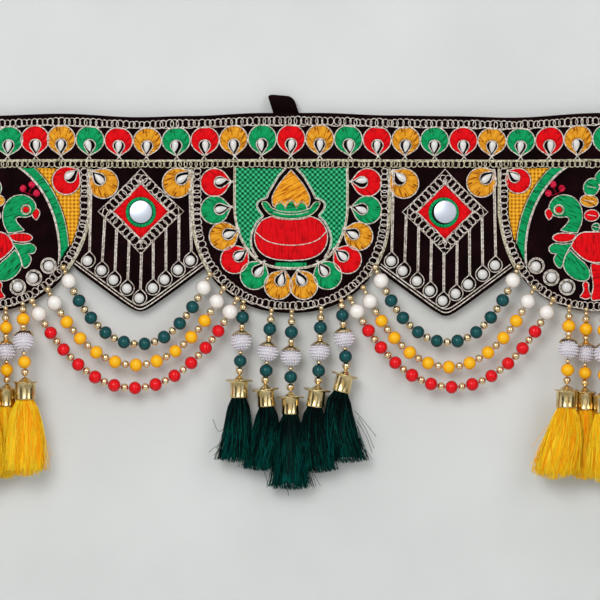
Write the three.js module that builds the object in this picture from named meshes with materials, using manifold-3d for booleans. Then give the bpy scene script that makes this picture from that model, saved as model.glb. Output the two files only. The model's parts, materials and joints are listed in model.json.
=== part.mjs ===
// A toran, the festive hanging over a doorway: a long velvet band with five panels cut in one
// with it, bead swags below the two pointed panels, and bead strings with brass caps and silk
// tassels below the three round ones.
// Millimetres, +Z up. The front faces -Y. The origin is the middle of the top edge, on the back.

import * as THREE from 'three';
import { mergeVertices } from 'three/addons/utils/BufferGeometryUtils.js';
import Module from 'manifold-3d';

// Cloth
const clothThickness = 2;
const clothRows = 4;
const roundStep = 7 * THREE.MathUtils.DEG2RAD;
const pointedSteps = 3;
const waveLength = 150;
const wavePhase = 0.9;
const waveTop = 0.5;
const waveFoot = 1.6;
const gap = 0.35;

// Panels, left to right: the middle, half the width, and how far below the top edge the shoulder
// (a round panel's centre, a pointed panel's corners) and the foot lie.
const panels = [
  { name: 'far_left', shape: 'round', x: -241.6, half: 78.4, shoulder: 80.4, foot: 158.8 },
  { name: 'left', shape: 'pointed', x: -120.6, half: 54, shoulder: 119.2, foot: 158.8 },
  { name: 'middle', shape: 'round', x: 0, half: 78.4, shoulder: 81.6, foot: 160 },
  { name: 'right', shape: 'pointed', x: 123.8, half: 54, shoulder: 121.2, foot: 162.4 },
  { name: 'far_right', shape: 'round', x: 249.6, half: 78.4, shoulder: 80.4, foot: 158.8 },
];

// How far the top edge dips between the places that hold it.
const topEdge = [
  { x: -330, drop: 2.2 },
  { x: -245, drop: 2.4 },
  { x: -184, drop: 0.6 },
  { x: -122, drop: 3.4 },
  { x: -80, drop: 2.4 },
  { x: -22, drop: 0 },
  { x: 22, drop: 0 },
  { x: 80, drop: 2 },
  { x: 130, drop: 2.6 },
  { x: 176, drop: 3.8 },
  { x: 247, drop: 0 },
  { x: 340, drop: 1.8 },
];

// Hanging loops: a tape folded over, its two ends one on the other behind the cloth.
const loopWidth = 20.4;
const loopHeight = 15.2;
const loopTape = 1.8;
const loopInside = 5.2;
const loopTail = 14;
const loopRootRise = 0.8;
const loopShoulder = 5.6;
const loopInsideFoot = 3.5;
const loopInsideShoulder = 6.3;
const loops = [
  { name: 'hanging_loop_left', x: -304, lean: 0 },
  { name: 'hanging_loop_middle', x: -4, lean: -0.2 },
  { name: 'hanging_loop_right', x: 312, lean: 0 },
];

// Round mirrors in the diamonds of the pointed panels
const mirrorAcross = 18;
const mirrorThickness = 1.6;
const mirrors = [
  { name: 'mirror_left', x: -120, drop: 79.2 },
  { name: 'mirror_right', x: 123.2, drop: 79.2 },
];

// Beads: size across and along the thread, and rings that give the shape, as parts of the
// length and of the radius.
const beadSides = 6;
const threadRadius = 0.9;
const beadKinds = {
  seed: { across: 4.2, along: 3.6, rings: [{ t: 0.5, r: 1 }] },
  gold: { across: 6.6, along: 6.2, rings: [{ t: 0.5, r: 1 }] },
  spacer: { across: 5.6, along: 4.8, rings: [{ t: 0.5, r: 1 }] },
  colour: { across: 10.6, along: 10.2, rings: [{ t: 0.26, r: 0.93 }, { t: 0.74, r: 0.93 }] },
  pearl: { across: 12.4, along: 12.4, rings: [{ t: 0.26, r: 0.93 }, { t: 0.74, r: 0.93 }] },
  flare: { across: 15, along: 2.6, rings: [{ t: 0.15, r: 0.36 }, { t: 0.95, r: 1 }], close: true },
  ribbed: { across: 17.2, along: 15, rings: [{ t: 0.16, r: 0.74 }, { t: 0.5, r: 1 }, { t: 0.84, r: 0.74 }] },
};

// Swags: both ends are sewn on the chain borders of the round panels, given by x and drop. From
// there a swag swings forward over its first few beads. The slack is the thread's length as a
// share of its beads' length.
const swagForward = 3.8;
const swagRise = 16;
const swagSteps = 48;
const swagKinds = {
  green: { count: 8, slack: 1.008 },
  yellow: { count: 9, slack: 1.028 },
  red: { count: 11, slack: 1.015 },
};
const swags = [
  { side: 'left', colour: 'green', x0: -182.8, drop0: 121.3, x1: -64, drop1: 126.8 },
  { side: 'left', colour: 'yellow', x0: -195.4, drop0: 139, x1: -52.8, drop1: 137.8 },
  { side: 'left', colour: 'red', x0: -208, drop0: 148, x1: -42, drop1: 146.4 },
  { side: 'right', colour: 'green', x0: 66.4, drop0: 121.2, x1: 182.4, drop1: 120.8 },
  { side: 'right', colour: 'yellow', x0: 56.8, drop0: 137.6, x1: 195.2, drop1: 137.6 },
  { side: 'right', colour: 'red', x0: 46.2, drop0: 146, x1: 210.6, drop1: 146.8 },
];

// Brass caps: radius and flange, then what both sizes share
const capSizes = {
  green: { radius: 7.2, flange: 10.6 },
  yellow: { radius: 8.4, flange: 9.2 },
};
const capSides = 8;
const capLength = 13.6;
const capWall = 0.9;
const capDome = 4.5;
const capRecessTop = 4;
const domeShoulder = 0.6;
const domeNeck = 0.36;
const flangeThickness = 1;

// Tassels: two rows of locks, each lock with its root in the head, a bulge and a foot
const lockColumns = 6;
const lockFill = 0.8;
const lockRootReach = 0.68;
const lockRootDepth = 0.36;
const lockBulgeAt = 0.42;
const lockBulgeDrop = 9;
const lockFootDepth = 2.3;
const lockThickness = 4.2;
const lockUneven = 1.6;
const headBelowRim = 0.8;

// Bead strings leave the cloth a little above its edge and hang clear of it from half way down.
const stringRootRise = 3;
const stringSettled = 0.5;
const stringLeaving = 0.42;
const stringLeavingOut = 0.3;

// Bead strings with tassels, by panel, as offsets from its middle and drops below the top edge:
// where the string leaves the cloth, how many seed beads it has there, the cap's flange, its lean
// in degrees, how far it hangs out from the back, and the tassel's reach to both sides and down.
const strings = {
  middle: [
    { top: -38, seeds: 1, cap: -41.2, drop: 214, lean: 1, out: 8.6, left: -55.2, right: -36, foot: 279 },
    { top: -15.4, seeds: 2, cap: -20.4, drop: 221.2, lean: -4, out: 9, left: -35, right: -14.6, foot: 285 },
    { top: 0.6, seeds: 2, cap: -0.4, drop: 227.2, lean: 0, out: 8.6, left: -13.6, right: 10.6, foot: 301.6 },
    { top: 24.2, seeds: 2, cap: 21, drop: 221.6, lean: 8, out: 9.4, left: 11.6, right: 32, foot: 287.6 },
    { top: 40, seeds: 1, cap: 43.2, drop: 209.8, lean: 14, out: 8.6, left: 33, right: 56.8, foot: 279 },
  ],
  far_left: [
    { top: -27.2, seeds: 1, cap: -30, drop: 217.2, lean: 2, out: 18.6, left: -52, right: -20, foot: 291 },
    { top: -13.6, seeds: 2, cap: -15, drop: 220.8, lean: 0, out: 8.6, left: -27, right: -7, foot: 292.6 },
    { top: 0, seeds: 2, cap: 0, drop: 224, lean: 0, out: 18.6, left: -12, right: 12, foot: 294.4 },
    { top: 13.6, seeds: 2, cap: 15, drop: 220.8, lean: 0, out: 8.6, left: 2.8, right: 25, foot: 292.6 },
    { top: 27.2, seeds: 1, cap: 30, drop: 215.2, lean: 0, out: 18.6, left: 13.4, right: 44.6, foot: 290.6 },
  ],
  far_right: [
    { top: -27.2, seeds: 2, cap: -30, drop: 221.6, lean: 1, out: 18.6, left: -56, right: -25, foot: 293 },
    { top: -13.6, seeds: 2, cap: -15, drop: 223.6, lean: -1, out: 8.6, left: -27, right: -5, foot: 293.6 },
    { top: 0, seeds: 2, cap: 0, drop: 226, lean: 0, out: 18.6, left: -12, right: 12, foot: 295.2 },
    { top: 13.6, seeds: 2, cap: 15, drop: 223.6, lean: 1, out: 8.6, left: 4, right: 27, foot: 293.6 },
    { top: 27.2, seeds: 2, cap: 30, drop: 220.8, lean: -1, out: 18.6, left: 16, right: 50, foot: 291.2 },
  ],
};

// Materials
const finishes = {
  velvet: { color: 0x1b0a0c, roughness: 0.95, metalness: 0 },
  mirror: { color: 0xdfe8ec, roughness: 0.08, metalness: 1 },
  brass: { color: 0xc9ac5c, roughness: 0.3, metalness: 1 },
  green: { color: 0x06444a, roughness: 0.3, metalness: 0 },
  yellow: { color: 0xf7ac14, roughness: 0.35, metalness: 0 },
  red: { color: 0xdb0b1d, roughness: 0.35, metalness: 0 },
  greenSilk: { color: 0x05372f, roughness: 0.6, metalness: 0 },
  yellowSilk: { color: 0xf3a91b, roughness: 0.6, metalness: 0 },
};

const wasm = await Module();
wasm.setup();
const toran = new THREE.Group();

function addPiece(name, geometry, finish) {
  const mesh = new THREE.Mesh(geometry, new THREE.MeshStandardMaterial(finishes[finish]));
  mesh.name = name;
  toran.add(mesh);
  return mesh;
}

function geometryFrom(points, triangles) {
  const geometry = new THREE.BufferGeometry();
  geometry.setAttribute('position', new THREE.Float32BufferAttribute(points.flat(), 3));
  geometry.setIndex(triangles.flat());
  geometry.computeVertexNormals();
  return geometry;
}

function toManifold(geometry) {
  const bare = geometry.clone();
  bare.deleteAttribute('normal');
  bare.deleteAttribute('uv');
  const merged = mergeVertices(bare, 1e-4);
  return new wasm.Manifold(new wasm.Mesh({
    numProp: 3,
    vertProperties: new Float32Array(merged.attributes.position.array),
    triVerts: new Uint32Array(merged.index.array),
  }));
}

function fromManifold(solid) {
  const mesh = solid.getMesh();
  const geometry = new THREE.BufferGeometry();
  geometry.setAttribute('position', new THREE.BufferAttribute(new Float32Array(mesh.vertProperties), 3));
  geometry.setIndex(new THREE.BufferAttribute(new Uint32Array(mesh.triVerts), 1));
  geometry.computeVertexNormals();
  return geometry;
}

// The cloth's outline and waves

function dropOfPanel(panel, x) {
  const off = Math.abs(x - panel.x);
  if (off > panel.half) return 0;
  if (panel.shape === 'round') return panel.shoulder + Math.sqrt(panel.half ** 2 - off ** 2);
  return panel.foot - (panel.foot - panel.shoulder) * off / panel.half;
}

function topDrop(x) {
  const next = Math.max(1, topEdge.findIndex((row) => row.x > x));
  const from = topEdge[next - 1];
  const to = topEdge[next];
  const t = THREE.MathUtils.smoothstep(x, from.x, to.x);
  return THREE.MathUtils.lerp(from.drop, to.drop, t);
}

// How far the cloth's back stands forward of the wall side, more towards the free foot.
function bow(x, drop) {
  const t = drop / 160;
  const wave = 0.5 + 0.5 * Math.sin(2 * Math.PI * x / waveLength + wavePhase);
  return (waveTop + (waveFoot - waveTop) * t) * wave;
}

function clothFront(x, drop) {
  return -bow(x, drop) - clothThickness;
}

// The x where two neighbouring panels' outlines cross.
function notchBetween(left, right) {
  let low = right.x - right.half;
  let high = left.x + left.half;
  for (let i = 0; i < 40; i += 1) {
    const x = (low + high) / 2;
    if (dropOfPanel(left, x) > dropOfPanel(right, x)) low = x;
    else high = x;
  }
  return (low + high) / 2;
}

function stationsOfPanel(panel, from, to) {
  const xs = [];
  if (panel.shape === 'round') {
    const start = Math.asin(Math.max(-1, (from - panel.x) / panel.half));
    const end = Math.asin(Math.min(1, (to - panel.x) / panel.half));
    const count = Math.round((end - start) / roundStep);
    for (let i = 0; i <= count; i += 1) {
      xs.push(panel.x + panel.half * Math.sin(start + (end - start) * i / count));
    }
    return xs;
  }
  for (let i = 0; i <= pointedSteps; i += 1) xs.push(from + (panel.x - from) * i / pointedSteps);
  for (let i = 1; i <= pointedSteps; i += 1) xs.push(panel.x + (to - panel.x) * i / pointedSteps);
  return xs;
}

function clothColumns() {
  const columns = [];
  panels.forEach((panel, i) => {
    const from = i === 0 ? panel.x - panel.half : notchBetween(panels[i - 1], panel);
    const to = i === panels.length - 1 ? panel.x + panel.half : notchBetween(panel, panels[i + 1]);
    const xs = stationsOfPanel(panel, from, to);
    if (i > 0) xs.shift();
    xs.forEach((x) => columns.push({ x, top: topDrop(x), foot: dropOfPanel(panel, x) }));
  });
  return columns;
}

function clothGeometry() {
  const columns = clothColumns();
  const points = [];
  const triangles = [];
  const across = clothRows + 1;
  const backStart = columns.length * across;
  for (const side of ['front', 'back']) {
    for (const column of columns) {
      for (let j = 0; j <= clothRows; j += 1) {
        const drop = THREE.MathUtils.lerp(column.top, column.foot, j / clothRows);
        const y = side === 'front' ? clothFront(column.x, drop) : -bow(column.x, drop);
        points.push([column.x, y, -drop]);
      }
    }
  }
  const at = (i, j) => i * across + j;
  const quad = (a, b, c, d) => triangles.push([a, b, c], [a, c, d]);
  const last = columns.length - 1;
  for (let i = 0; i < last; i += 1) {
    for (let j = 0; j < clothRows; j += 1) {
      const corners = [at(i, j), at(i, j + 1), at(i + 1, j + 1), at(i + 1, j)];
      quad(...corners);
      quad(...corners.map((index) => index + backStart).reverse());
    }
    quad(at(i, 0), at(i + 1, 0), at(i + 1, 0) + backStart, at(i, 0) + backStart);
    const foot = clothRows;
    quad(at(i + 1, foot), at(i, foot), at(i, foot) + backStart, at(i + 1, foot) + backStart);
  }
  for (let j = 0; j < clothRows; j += 1) {
    quad(at(0, j + 1), at(0, j), at(0, j) + backStart, at(0, j + 1) + backStart);
    quad(at(last, j), at(last, j + 1), at(last, j + 1) + backStart, at(last, j) + backStart);
  }
  return geometryFrom(points, triangles);
}

// Hanging loop: the folded tape's outline from the side, drawn across X and carried along it

function loopGeometry(lean) {
  const inner = loopInside / 2;
  const outer = inner + loopTape;
  const middle = gap + loopTape / 2;
  const crown = loopHeight - outer;
  const outline = new THREE.Shape();
  outline.moveTo(gap, -loopTail);
  outline.lineTo(gap + loopTape, -loopTail);
  outline.lineTo(gap + loopTape, loopRootRise);
  outline.lineTo(middle + outer, loopShoulder);
  outline.lineTo(middle + outer, crown);
  outline.absarc(middle, crown, outer, 0, Math.PI, false);
  outline.lineTo(middle - outer, loopShoulder);
  outline.lineTo(gap, loopRootRise);
  outline.closePath();
  const inside = new THREE.Path();
  inside.moveTo(middle, loopInsideFoot);
  inside.lineTo(middle - inner, loopInsideShoulder);
  inside.lineTo(middle - inner, crown);
  inside.absarc(middle, crown, inner, Math.PI, 0, true);
  inside.lineTo(middle + inner, loopInsideShoulder);
  inside.closePath();
  outline.holes.push(inside);
  const settings = { depth: loopWidth, bevelEnabled: false, curveSegments: 6 };
  const geometry = new THREE.ExtrudeGeometry(outline, settings);
  geometry.translate(0, 0, -loopWidth / 2);
  const turn = new THREE.Matrix4().makeBasis(
    new THREE.Vector3(0, 1, 0), new THREE.Vector3(0, 0, 1), new THREE.Vector3(1, 0, 0));
  geometry.applyMatrix4(turn);
  const place = geometry.attributes.position;
  for (let i = 0; i < place.count; i += 1) {
    place.setX(i, place.getX(i) + lean * Math.max(0, place.getZ(i)));
  }
  return geometry;
}

function mirrorGeometry() {
  const radius = mirrorAcross / 2;
  const edge = mirrorThickness * 0.3;
  const profile = [
    new THREE.Vector2(0, 0),
    new THREE.Vector2(radius, 0),
    new THREE.Vector2(radius, mirrorThickness - edge),
    new THREE.Vector2(radius - edge, mirrorThickness),
    new THREE.Vector2(0, mirrorThickness),
  ];
  const geometry = new THREE.LatheGeometry(profile, 16);
  geometry.rotateX(Math.PI);
  return geometry;
}

// Beads on a thread: one solid, a ring of points for each place where the width changes

function ringsOf(sequence, length) {
  const natural = sequence.reduce((sum, kind) => sum + beadKinds[kind].along, 0);
  const scale = length / natural;
  const rings = [];
  let at = 0;
  sequence.forEach((name, i) => {
    const kind = beadKinds[name];
    const along = kind.along * scale;
    kind.rings.forEach((ring) => rings.push({ at: at + along * ring.t, radius: kind.across / 2 * ring.r }));
    at += along;
    if (i < sequence.length - 1 && !kind.close) rings.push({ at, radius: threadRadius });
  });
  return rings;
}

function beadedGeometry(path, sequence) {
  const length = path.getLength();
  const forward = new THREE.Vector3(0, 1, 0);
  const points = [path.getPointAt(0).toArray()];
  const triangles = [];
  const rings = ringsOf(sequence, length);
  for (const ring of rings) {
    const centre = path.getPointAt(ring.at / length);
    const along = path.getTangentAt(ring.at / length);
    const side = new THREE.Vector3().crossVectors(along, forward).normalize();
    const out = new THREE.Vector3().crossVectors(side, along).normalize();
    for (let k = 0; k < beadSides; k += 1) {
      const angle = 2 * Math.PI * k / beadSides;
      const point = centre.clone()
        .addScaledVector(side, ring.radius * Math.cos(angle))
        .addScaledVector(out, ring.radius * Math.sin(angle));
      points.push(point.toArray());
    }
  }
  points.push(path.getPointAt(1).toArray());
  const at = (ring, k) => 1 + ring * beadSides + k % beadSides;
  const end = points.length - 1;
  for (let k = 0; k < beadSides; k += 1) {
    triangles.push([0, at(0, k), at(0, k + 1)]);
    for (let r = 0; r < rings.length - 1; r += 1) {
      triangles.push([at(r, k), at(r + 1, k), at(r, k + 1)]);
      triangles.push([at(r, k + 1), at(r + 1, k), at(r + 1, k + 1)]);
    }
    triangles.push([end, at(rings.length - 1, k + 1), at(rings.length - 1, k)]);
  }
  return geometryFrom(points, triangles);
}

// A string held at both ends hangs in a catenary of its own length.
function catenaryPath(swag, length) {
  const span = swag.x1 - swag.x0;
  const fall = swag.drop0 - swag.drop1;
  const target = Math.sqrt(length ** 2 - fall ** 2);
  let low = span / 20;
  let high = span * 20;
  for (let i = 0; i < 60; i += 1) {
    const a = (low + high) / 2;
    if (2 * a * Math.sinh(span / (2 * a)) > target) low = a;
    else high = a;
  }
  const a = (low + high) / 2;
  const lowest = swag.x0 + span / 2 - a * Math.atanh(fall / length);
  const start = a * Math.cosh((swag.x0 - lowest) / a);
  const endRadius = beadKinds.spacer.across / 2;
  const edgeY = clothFront(swag.x0, swag.drop0) - endRadius - gap;
  const points = [];
  for (let i = 0; i <= swagSteps; i += 1) {
    const s = length * i / swagSteps;
    const slope = s / a + Math.sinh((swag.x0 - lowest) / a);
    const x = lowest + a * Math.asinh(slope);
    const drop = swag.drop0 + start - a * Math.cosh((x - lowest) / a);
    const fromEnd = Math.min(s, length - s);
    const y = edgeY - swagForward * THREE.MathUtils.smoothstep(fromEnd, 0, swagRise);
    points.push(new THREE.Vector3(x, y, -drop));
  }
  return new THREE.CatmullRomCurve3(points);
}

function swagSequence(count) {
  const ends = ['spacer', 'seed', 'pearl', 'gold'];
  const middle = [];
  for (let i = 0; i < count; i += 1) {
    middle.push('colour');
    if (i < count - 1) middle.push('gold');
  }
  return [...ends, ...middle, ...[...ends].reverse()];
}

// Bead string, brass cap and tassel

function capGeometry(size) {
  const inside = size.radius - capWall;
  const profile = [
    [0, -capRecessTop],
    [inside, -capRecessTop],
    [inside, -capLength],
    [size.radius, -capLength],
    [size.radius, -flangeThickness],
    [size.flange, -flangeThickness / 2],
    [size.flange, flangeThickness / 2],
    [size.radius * domeShoulder, flangeThickness],
    [size.radius * domeNeck, capDome],
    [0, capDome],
  ];
  const geometry = new THREE.LatheGeometry(profile.map(([r, z]) => new THREE.Vector2(r, z)), capSides);
  geometry.rotateX(Math.PI / 2);
  return geometry;
}

// A tassel's head fills the cap, and its locks fan out below the rim in two rows.
function tasselGeometry(row, size, lean) {
  const headRadius = size.radius - capWall - gap * 1.2;
  const headTop = -capRecessTop - gap;
  const headFoot = -capLength - headBelowRim;
  const head = new THREE.CylinderGeometry(headRadius, headRadius, headTop - headFoot, capSides);
  head.rotateX(Math.PI / 2);
  head.translate(0, 0, (headTop + headFoot) / 2);
  head.rotateY(lean);
  let solid = toManifold(head);
  const spread = row.right - row.left;
  const rootPitch = 2 * headRadius * lockRootReach / lockColumns;
  const footPitch = spread / lockColumns;
  const widths = [rootPitch, THREE.MathUtils.lerp(rootPitch, footPitch, lockBulgeAt), footPitch];
  const depths = [headRadius / 2, lockThickness, lockThickness];
  for (let c = 0; c < lockColumns; c += 1) {
    for (const rank of [-1, 1]) {
      const place = c - (lockColumns - 1) / 2;
      const rootZ = headFoot + headBelowRim / 2;
      const root = new THREE.Vector3(place * rootPitch, rank * headRadius * lockRootDepth, rootZ);
      root.applyAxisAngle(new THREE.Vector3(0, 1, 0), lean);
      const footX = row.left + footPitch * (c + 0.5) - row.cap;
      const uneven = lockUneven * (1 + Math.sin(c * 2.3 + rank + row.top));
      const foot = new THREE.Vector3(footX, rank * lockFootDepth, row.drop - row.foot + uneven);
      const bulge = new THREE.Vector3().lerpVectors(root, foot, lockBulgeAt);
      bulge.z = root.z - lockBulgeDrop;
      solid = solid.add(toManifold(lockGeometry([root, bulge, foot], widths, depths, rank)));
    }
  }
  return fromManifold(solid);
}

// A lock of silk: three sides, flat towards the outside of the tassel.
function lockGeometry(stations, widths, depths, rank) {
  const points = [];
  const triangles = [];
  stations.forEach((station, i) => {
    const half = widths[i] * lockFill / 2;
    const depth = depths[i] * rank / 2;
    points.push([station.x - half, station.y + depth, station.z]);
    points.push([station.x + half, station.y + depth, station.z]);
    points.push([station.x, station.y - depth, station.z]);
  });
  for (let i = 0; i < stations.length - 1; i += 1) {
    for (let k = 0; k < 3; k += 1) {
      const a = i * 3 + k;
      const b = i * 3 + (k + 1) % 3;
      triangles.push([a, a + 3, b], [b, a + 3, b + 3]);
    }
  }
  const end = (stations.length - 1) * 3;
  triangles.push([0, 1, 2], [end, end + 2, end + 1]);
  if (rank > 0) triangles.forEach((triangle) => triangle.reverse());
  return geometryFrom(points, triangles);
}

function stringPath(row, panel, capTop) {
  const x = panel.x + row.top;
  const edge = dropOfPanel(panel, x);
  const startY = clothFront(x, edge) - beadKinds.seed.across / 2 - gap;
  const start = new THREE.Vector3(x, startY, stringRootRise - edge);
  const settled = new THREE.Vector3().lerpVectors(start, capTop, stringSettled);
  settled.y = capTop.y;
  const leaving = new THREE.Vector3().lerpVectors(start, settled, stringLeaving);
  leaving.y = THREE.MathUtils.lerp(startY, capTop.y, stringLeavingOut);
  return new THREE.CatmullRomCurve3([start, leaving, settled, capTop]);
}

function addHangingString(panel, row, number) {
  const colour = panel.name === 'middle' ? 'green' : 'yellow';
  const size = capSizes[colour];
  const lean = row.lean * THREE.MathUtils.DEG2RAD;
  const x = panel.x + row.cap;
  const place = new THREE.Vector3(x, -row.out, -row.drop);
  const label = `${panel.name}_${number}`;

  const cap = addPiece(`brass_cap_${label}`, capGeometry(size), 'brass');
  cap.position.copy(place);
  cap.rotation.y = lean;

  const tassel = addPiece(`tassel_${label}`, tasselGeometry(row, size, lean), `${colour}Silk`);
  tassel.position.copy(place);

  const up = new THREE.Vector3(0, 0, capDome + gap).applyAxisAngle(new THREE.Vector3(0, 1, 0), lean);
  const seeds = Array(row.seeds).fill('seed');
  const sequence = [...seeds, 'gold', 'colour', 'spacer', 'flare', 'ribbed', 'seed', 'colour', 'gold'];
  const path = stringPath(row, panel, place.clone().add(up));
  addPiece(`bead_string_${label}`, beadedGeometry(path, sequence), colour);
}

// The hanging put together

addPiece('cloth', clothGeometry(), 'velvet');

for (const loop of loops) {
  const mesh = addPiece(loop.name, loopGeometry(loop.lean), 'velvet');
  mesh.position.set(loop.x, 0, -topDrop(loop.x));
}

for (const mirror of mirrors) {
  const mesh = addPiece(mirror.name, mirrorGeometry(), 'mirror');
  const radius = mirrorAcross / 2;
  const reach = [-radius, 0, radius].map((off) => clothFront(mirror.x + off, mirror.drop + radius));
  mesh.position.set(mirror.x, Math.min(...reach) - gap, -mirror.drop);
}

for (const swag of swags) {
  const kind = swagKinds[swag.colour];
  const sequence = swagSequence(kind.count);
  const length = kind.slack * sequence.reduce((sum, bead) => sum + beadKinds[bead].along, 0);
  const geometry = beadedGeometry(catenaryPath(swag, length), sequence);
  addPiece(`swag_${swag.side}_${swag.colour}`, geometry, swag.colour);
}

for (const panel of panels) {
  const rows = strings[panel.name] ?? [];
  rows.forEach((row, i) => addHangingString(panel, row, i + 1));
}

export default toran;
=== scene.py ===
import json
from math import acos, asin, atan2, atanh, copysign, cos, cosh, degrees, hypot, pi, radians, sin, sinh, sqrt
import bmesh
import bpy
import numpy as np
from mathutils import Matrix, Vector
from mathutils.geometry import delaunay_2d_cdt

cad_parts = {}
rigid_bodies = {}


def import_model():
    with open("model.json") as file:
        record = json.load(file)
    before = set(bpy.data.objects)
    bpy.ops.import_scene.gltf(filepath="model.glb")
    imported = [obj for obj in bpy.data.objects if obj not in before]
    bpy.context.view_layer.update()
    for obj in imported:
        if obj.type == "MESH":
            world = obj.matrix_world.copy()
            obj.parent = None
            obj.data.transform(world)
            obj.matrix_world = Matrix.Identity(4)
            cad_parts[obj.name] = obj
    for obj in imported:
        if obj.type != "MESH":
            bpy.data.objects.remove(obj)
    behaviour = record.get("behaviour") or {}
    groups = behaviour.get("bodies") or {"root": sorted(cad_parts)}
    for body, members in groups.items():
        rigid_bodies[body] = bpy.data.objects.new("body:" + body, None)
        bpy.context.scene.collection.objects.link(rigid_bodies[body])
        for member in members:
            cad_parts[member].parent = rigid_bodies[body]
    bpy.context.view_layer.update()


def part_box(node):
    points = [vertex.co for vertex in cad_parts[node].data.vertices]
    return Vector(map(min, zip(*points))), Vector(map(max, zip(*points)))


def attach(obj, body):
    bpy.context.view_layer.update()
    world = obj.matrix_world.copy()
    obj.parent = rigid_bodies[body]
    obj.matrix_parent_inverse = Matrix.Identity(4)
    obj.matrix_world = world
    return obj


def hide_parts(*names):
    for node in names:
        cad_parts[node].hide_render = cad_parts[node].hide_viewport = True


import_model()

# A toran, the festive hanging over a doorway. All sizes here are in millimetres: x to the right,
# drop down from the top edge, lift out from the cloth towards the viewer.
mm = 0.001
toViewer = np.array([0.0, -1.0, 0.0])


# How the cloth hangs: its waves, and the dips of its top edge between the loops

hang = {
    "thickness": 2.0, "waveLength": 150.0, "wavePhase": 0.9, "waveTop": 0.5, "waveFoot": 1.6,
    "waveDepth": 160.0,
    "dipX": (-330, -245, -184, -122, -80, -22, 22, 80, 130, 176, 247, 340),
    "dipDrop": (2.2, 2.4, 0.6, 3.4, 2.4, 0, 0, 2, 2.6, 3.8, 0, 1.8),
    "dipFades": 45.0,
}

# left to right: shape, middle, half the width, drop of the foot, and then the drop of a round panel's
# shoulder or how far a pointed panel's tip is rounded; last, how full a round panel is, where 2 is a circle
panels = {
    "far_left": ("round", -241.6, 78.4, 158.8, 80.4, 2.0),
    "left": ("pointed", -120.6, 54.0, 158.8, 6.4, 0),
    "middle": ("round", 0.0, 78.4, 160.0, 81.6, 2.2),
    "right": ("pointed", 123.8, 54.0, 162.4, 5.4, 0),
    "far_right": ("round", 249.6, 78.4, 158.8, 80.4, 2.36),
}
slant = 0.75


def smooth01(t):
    t = np.clip(t, 0, 1)
    return t * t * (3 - 2 * t)


def topDrop(x):
    x = np.asarray(x, float)
    places, drops = np.array(hang["dipX"], float), np.array(hang["dipDrop"], float)
    i = np.clip(np.searchsorted(places, x, side="right"), 1, len(places) - 1)
    t = smooth01((x - places[i - 1]) / (places[i] - places[i - 1]))
    return drops[i - 1] + (drops[i] - drops[i - 1]) * t


def bow(x, drop):
    wave = 0.5 + 0.5 * np.sin(2 * np.pi * np.asarray(x, float) / hang["waveLength"] + hang["wavePhase"])
    share = np.asarray(drop, float) / hang["waveDepth"]
    return (hang["waveTop"] + (hang["waveFoot"] - hang["waveTop"]) * share) * wave


def clothFront(x, drop):
    return -bow(x, drop) - hang["thickness"]


def footOfPanel(panel, x):
    shape, middle, half, foot, form, full = panels[panel]
    off = np.abs(np.asarray(x, float) - middle)
    if shape == "round":
        reach = form + np.maximum(half ** full - off ** full, 0) ** (1 / full)
    else:
        reach = foot - slant * (np.hypot(off, form) - form)
    return np.where(off > half + 1e-6, 0, reach)


def settled(flat):
    # the embroidery follows the top edge dips, less and less towards the lower border
    flat = np.array(flat, float)
    fade = np.clip(1 - flat[:, 1] / hang["dipFades"], 0, 1)
    flat[:, 1] += topDrop(flat[:, 0]) * fade
    return flat


def onCloth(flat, lift):
    flat = settled(flat)
    return np.stack([flat[:, 0], clothFront(flat[:, 0], flat[:, 1]) - lift, -flat[:, 1]], 1)


# Goods: a pile of points and faces, made into one piece at the end

def newGoods():
    return {"points": [], "faces": [], "uv": [], "finish": [], "count": 0}


def addFaces(goods, points, faces, uv=None, finish=0):
    # faces is a list of arrays, one for each number of corners, and uv has one array for each
    for i, some in enumerate(faces):
        some = np.asarray(some)
        goods["faces"].append(some + goods["count"])
        goods["uv"].append(np.zeros(some.shape + (2,)) if uv is None else np.asarray(uv[i], float))
        goods["finish"].append(np.broadcast_to(np.asarray(finish), len(some)))
    goods["points"].append(np.asarray(points, float))
    goods["count"] += len(points)


def addObject(name, data):
    made = bpy.data.objects.new(name, data)
    bpy.context.scene.collection.objects.link(made)
    return made


def makePiece(name, goods, materials):
    mesh = bpy.data.meshes.new(name)
    points = np.concatenate(goods["points"]) * mm
    corners = np.concatenate([f.ravel() for f in goods["faces"]]).astype(np.int32)
    sizes = np.concatenate([np.full(len(f), f.shape[1]) for f in goods["faces"]])
    starts = np.concatenate([[0], np.cumsum(sizes)[:-1]]).astype(np.int32)
    mesh.vertices.add(len(points))
    mesh.vertices.foreach_set("co", points.ravel())
    mesh.loops.add(len(corners))
    mesh.loops.foreach_set("vertex_index", corners)
    mesh.polygons.add(len(sizes))
    mesh.polygons.foreach_set("loop_start", starts)
    mesh.polygons.foreach_set("material_index", np.concatenate(goods["finish"]).astype(np.int32))
    mesh.polygons.foreach_set("use_smooth", np.ones(len(sizes), bool))
    layer = mesh.uv_layers.new(name="thread")
    layer.uv.foreach_set("vector", np.concatenate([u.reshape(-1, 2) for u in goods["uv"]]).ravel())
    for material in materials:
        mesh.materials.append(material)
    mesh.update(calc_edges=True)
    mesh.validate()
    return register(addObject(name, mesh))


def register(piece):
    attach(piece, "root")
    return piece


# Curves

def lengthsAlong(points, closed=False):
    ends = np.vstack([points, points[:1]]) if closed else points
    return np.concatenate([[0], np.cumsum(np.linalg.norm(np.diff(ends, axis=0), axis=1))])


def evenly(points, step, closed=False):
    points = np.asarray(points, float)
    at = lengthsAlong(points, closed)
    ends = np.vstack([points, points[:1]]) if closed else points
    count = max(2, int(round(at[-1] / step)))
    places = np.linspace(0, at[-1], count + 1)
    if closed:
        places = places[:-1]
    return np.stack([np.interp(places, at, ends[:, k]) for k in range(points.shape[1])], 1)


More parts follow.
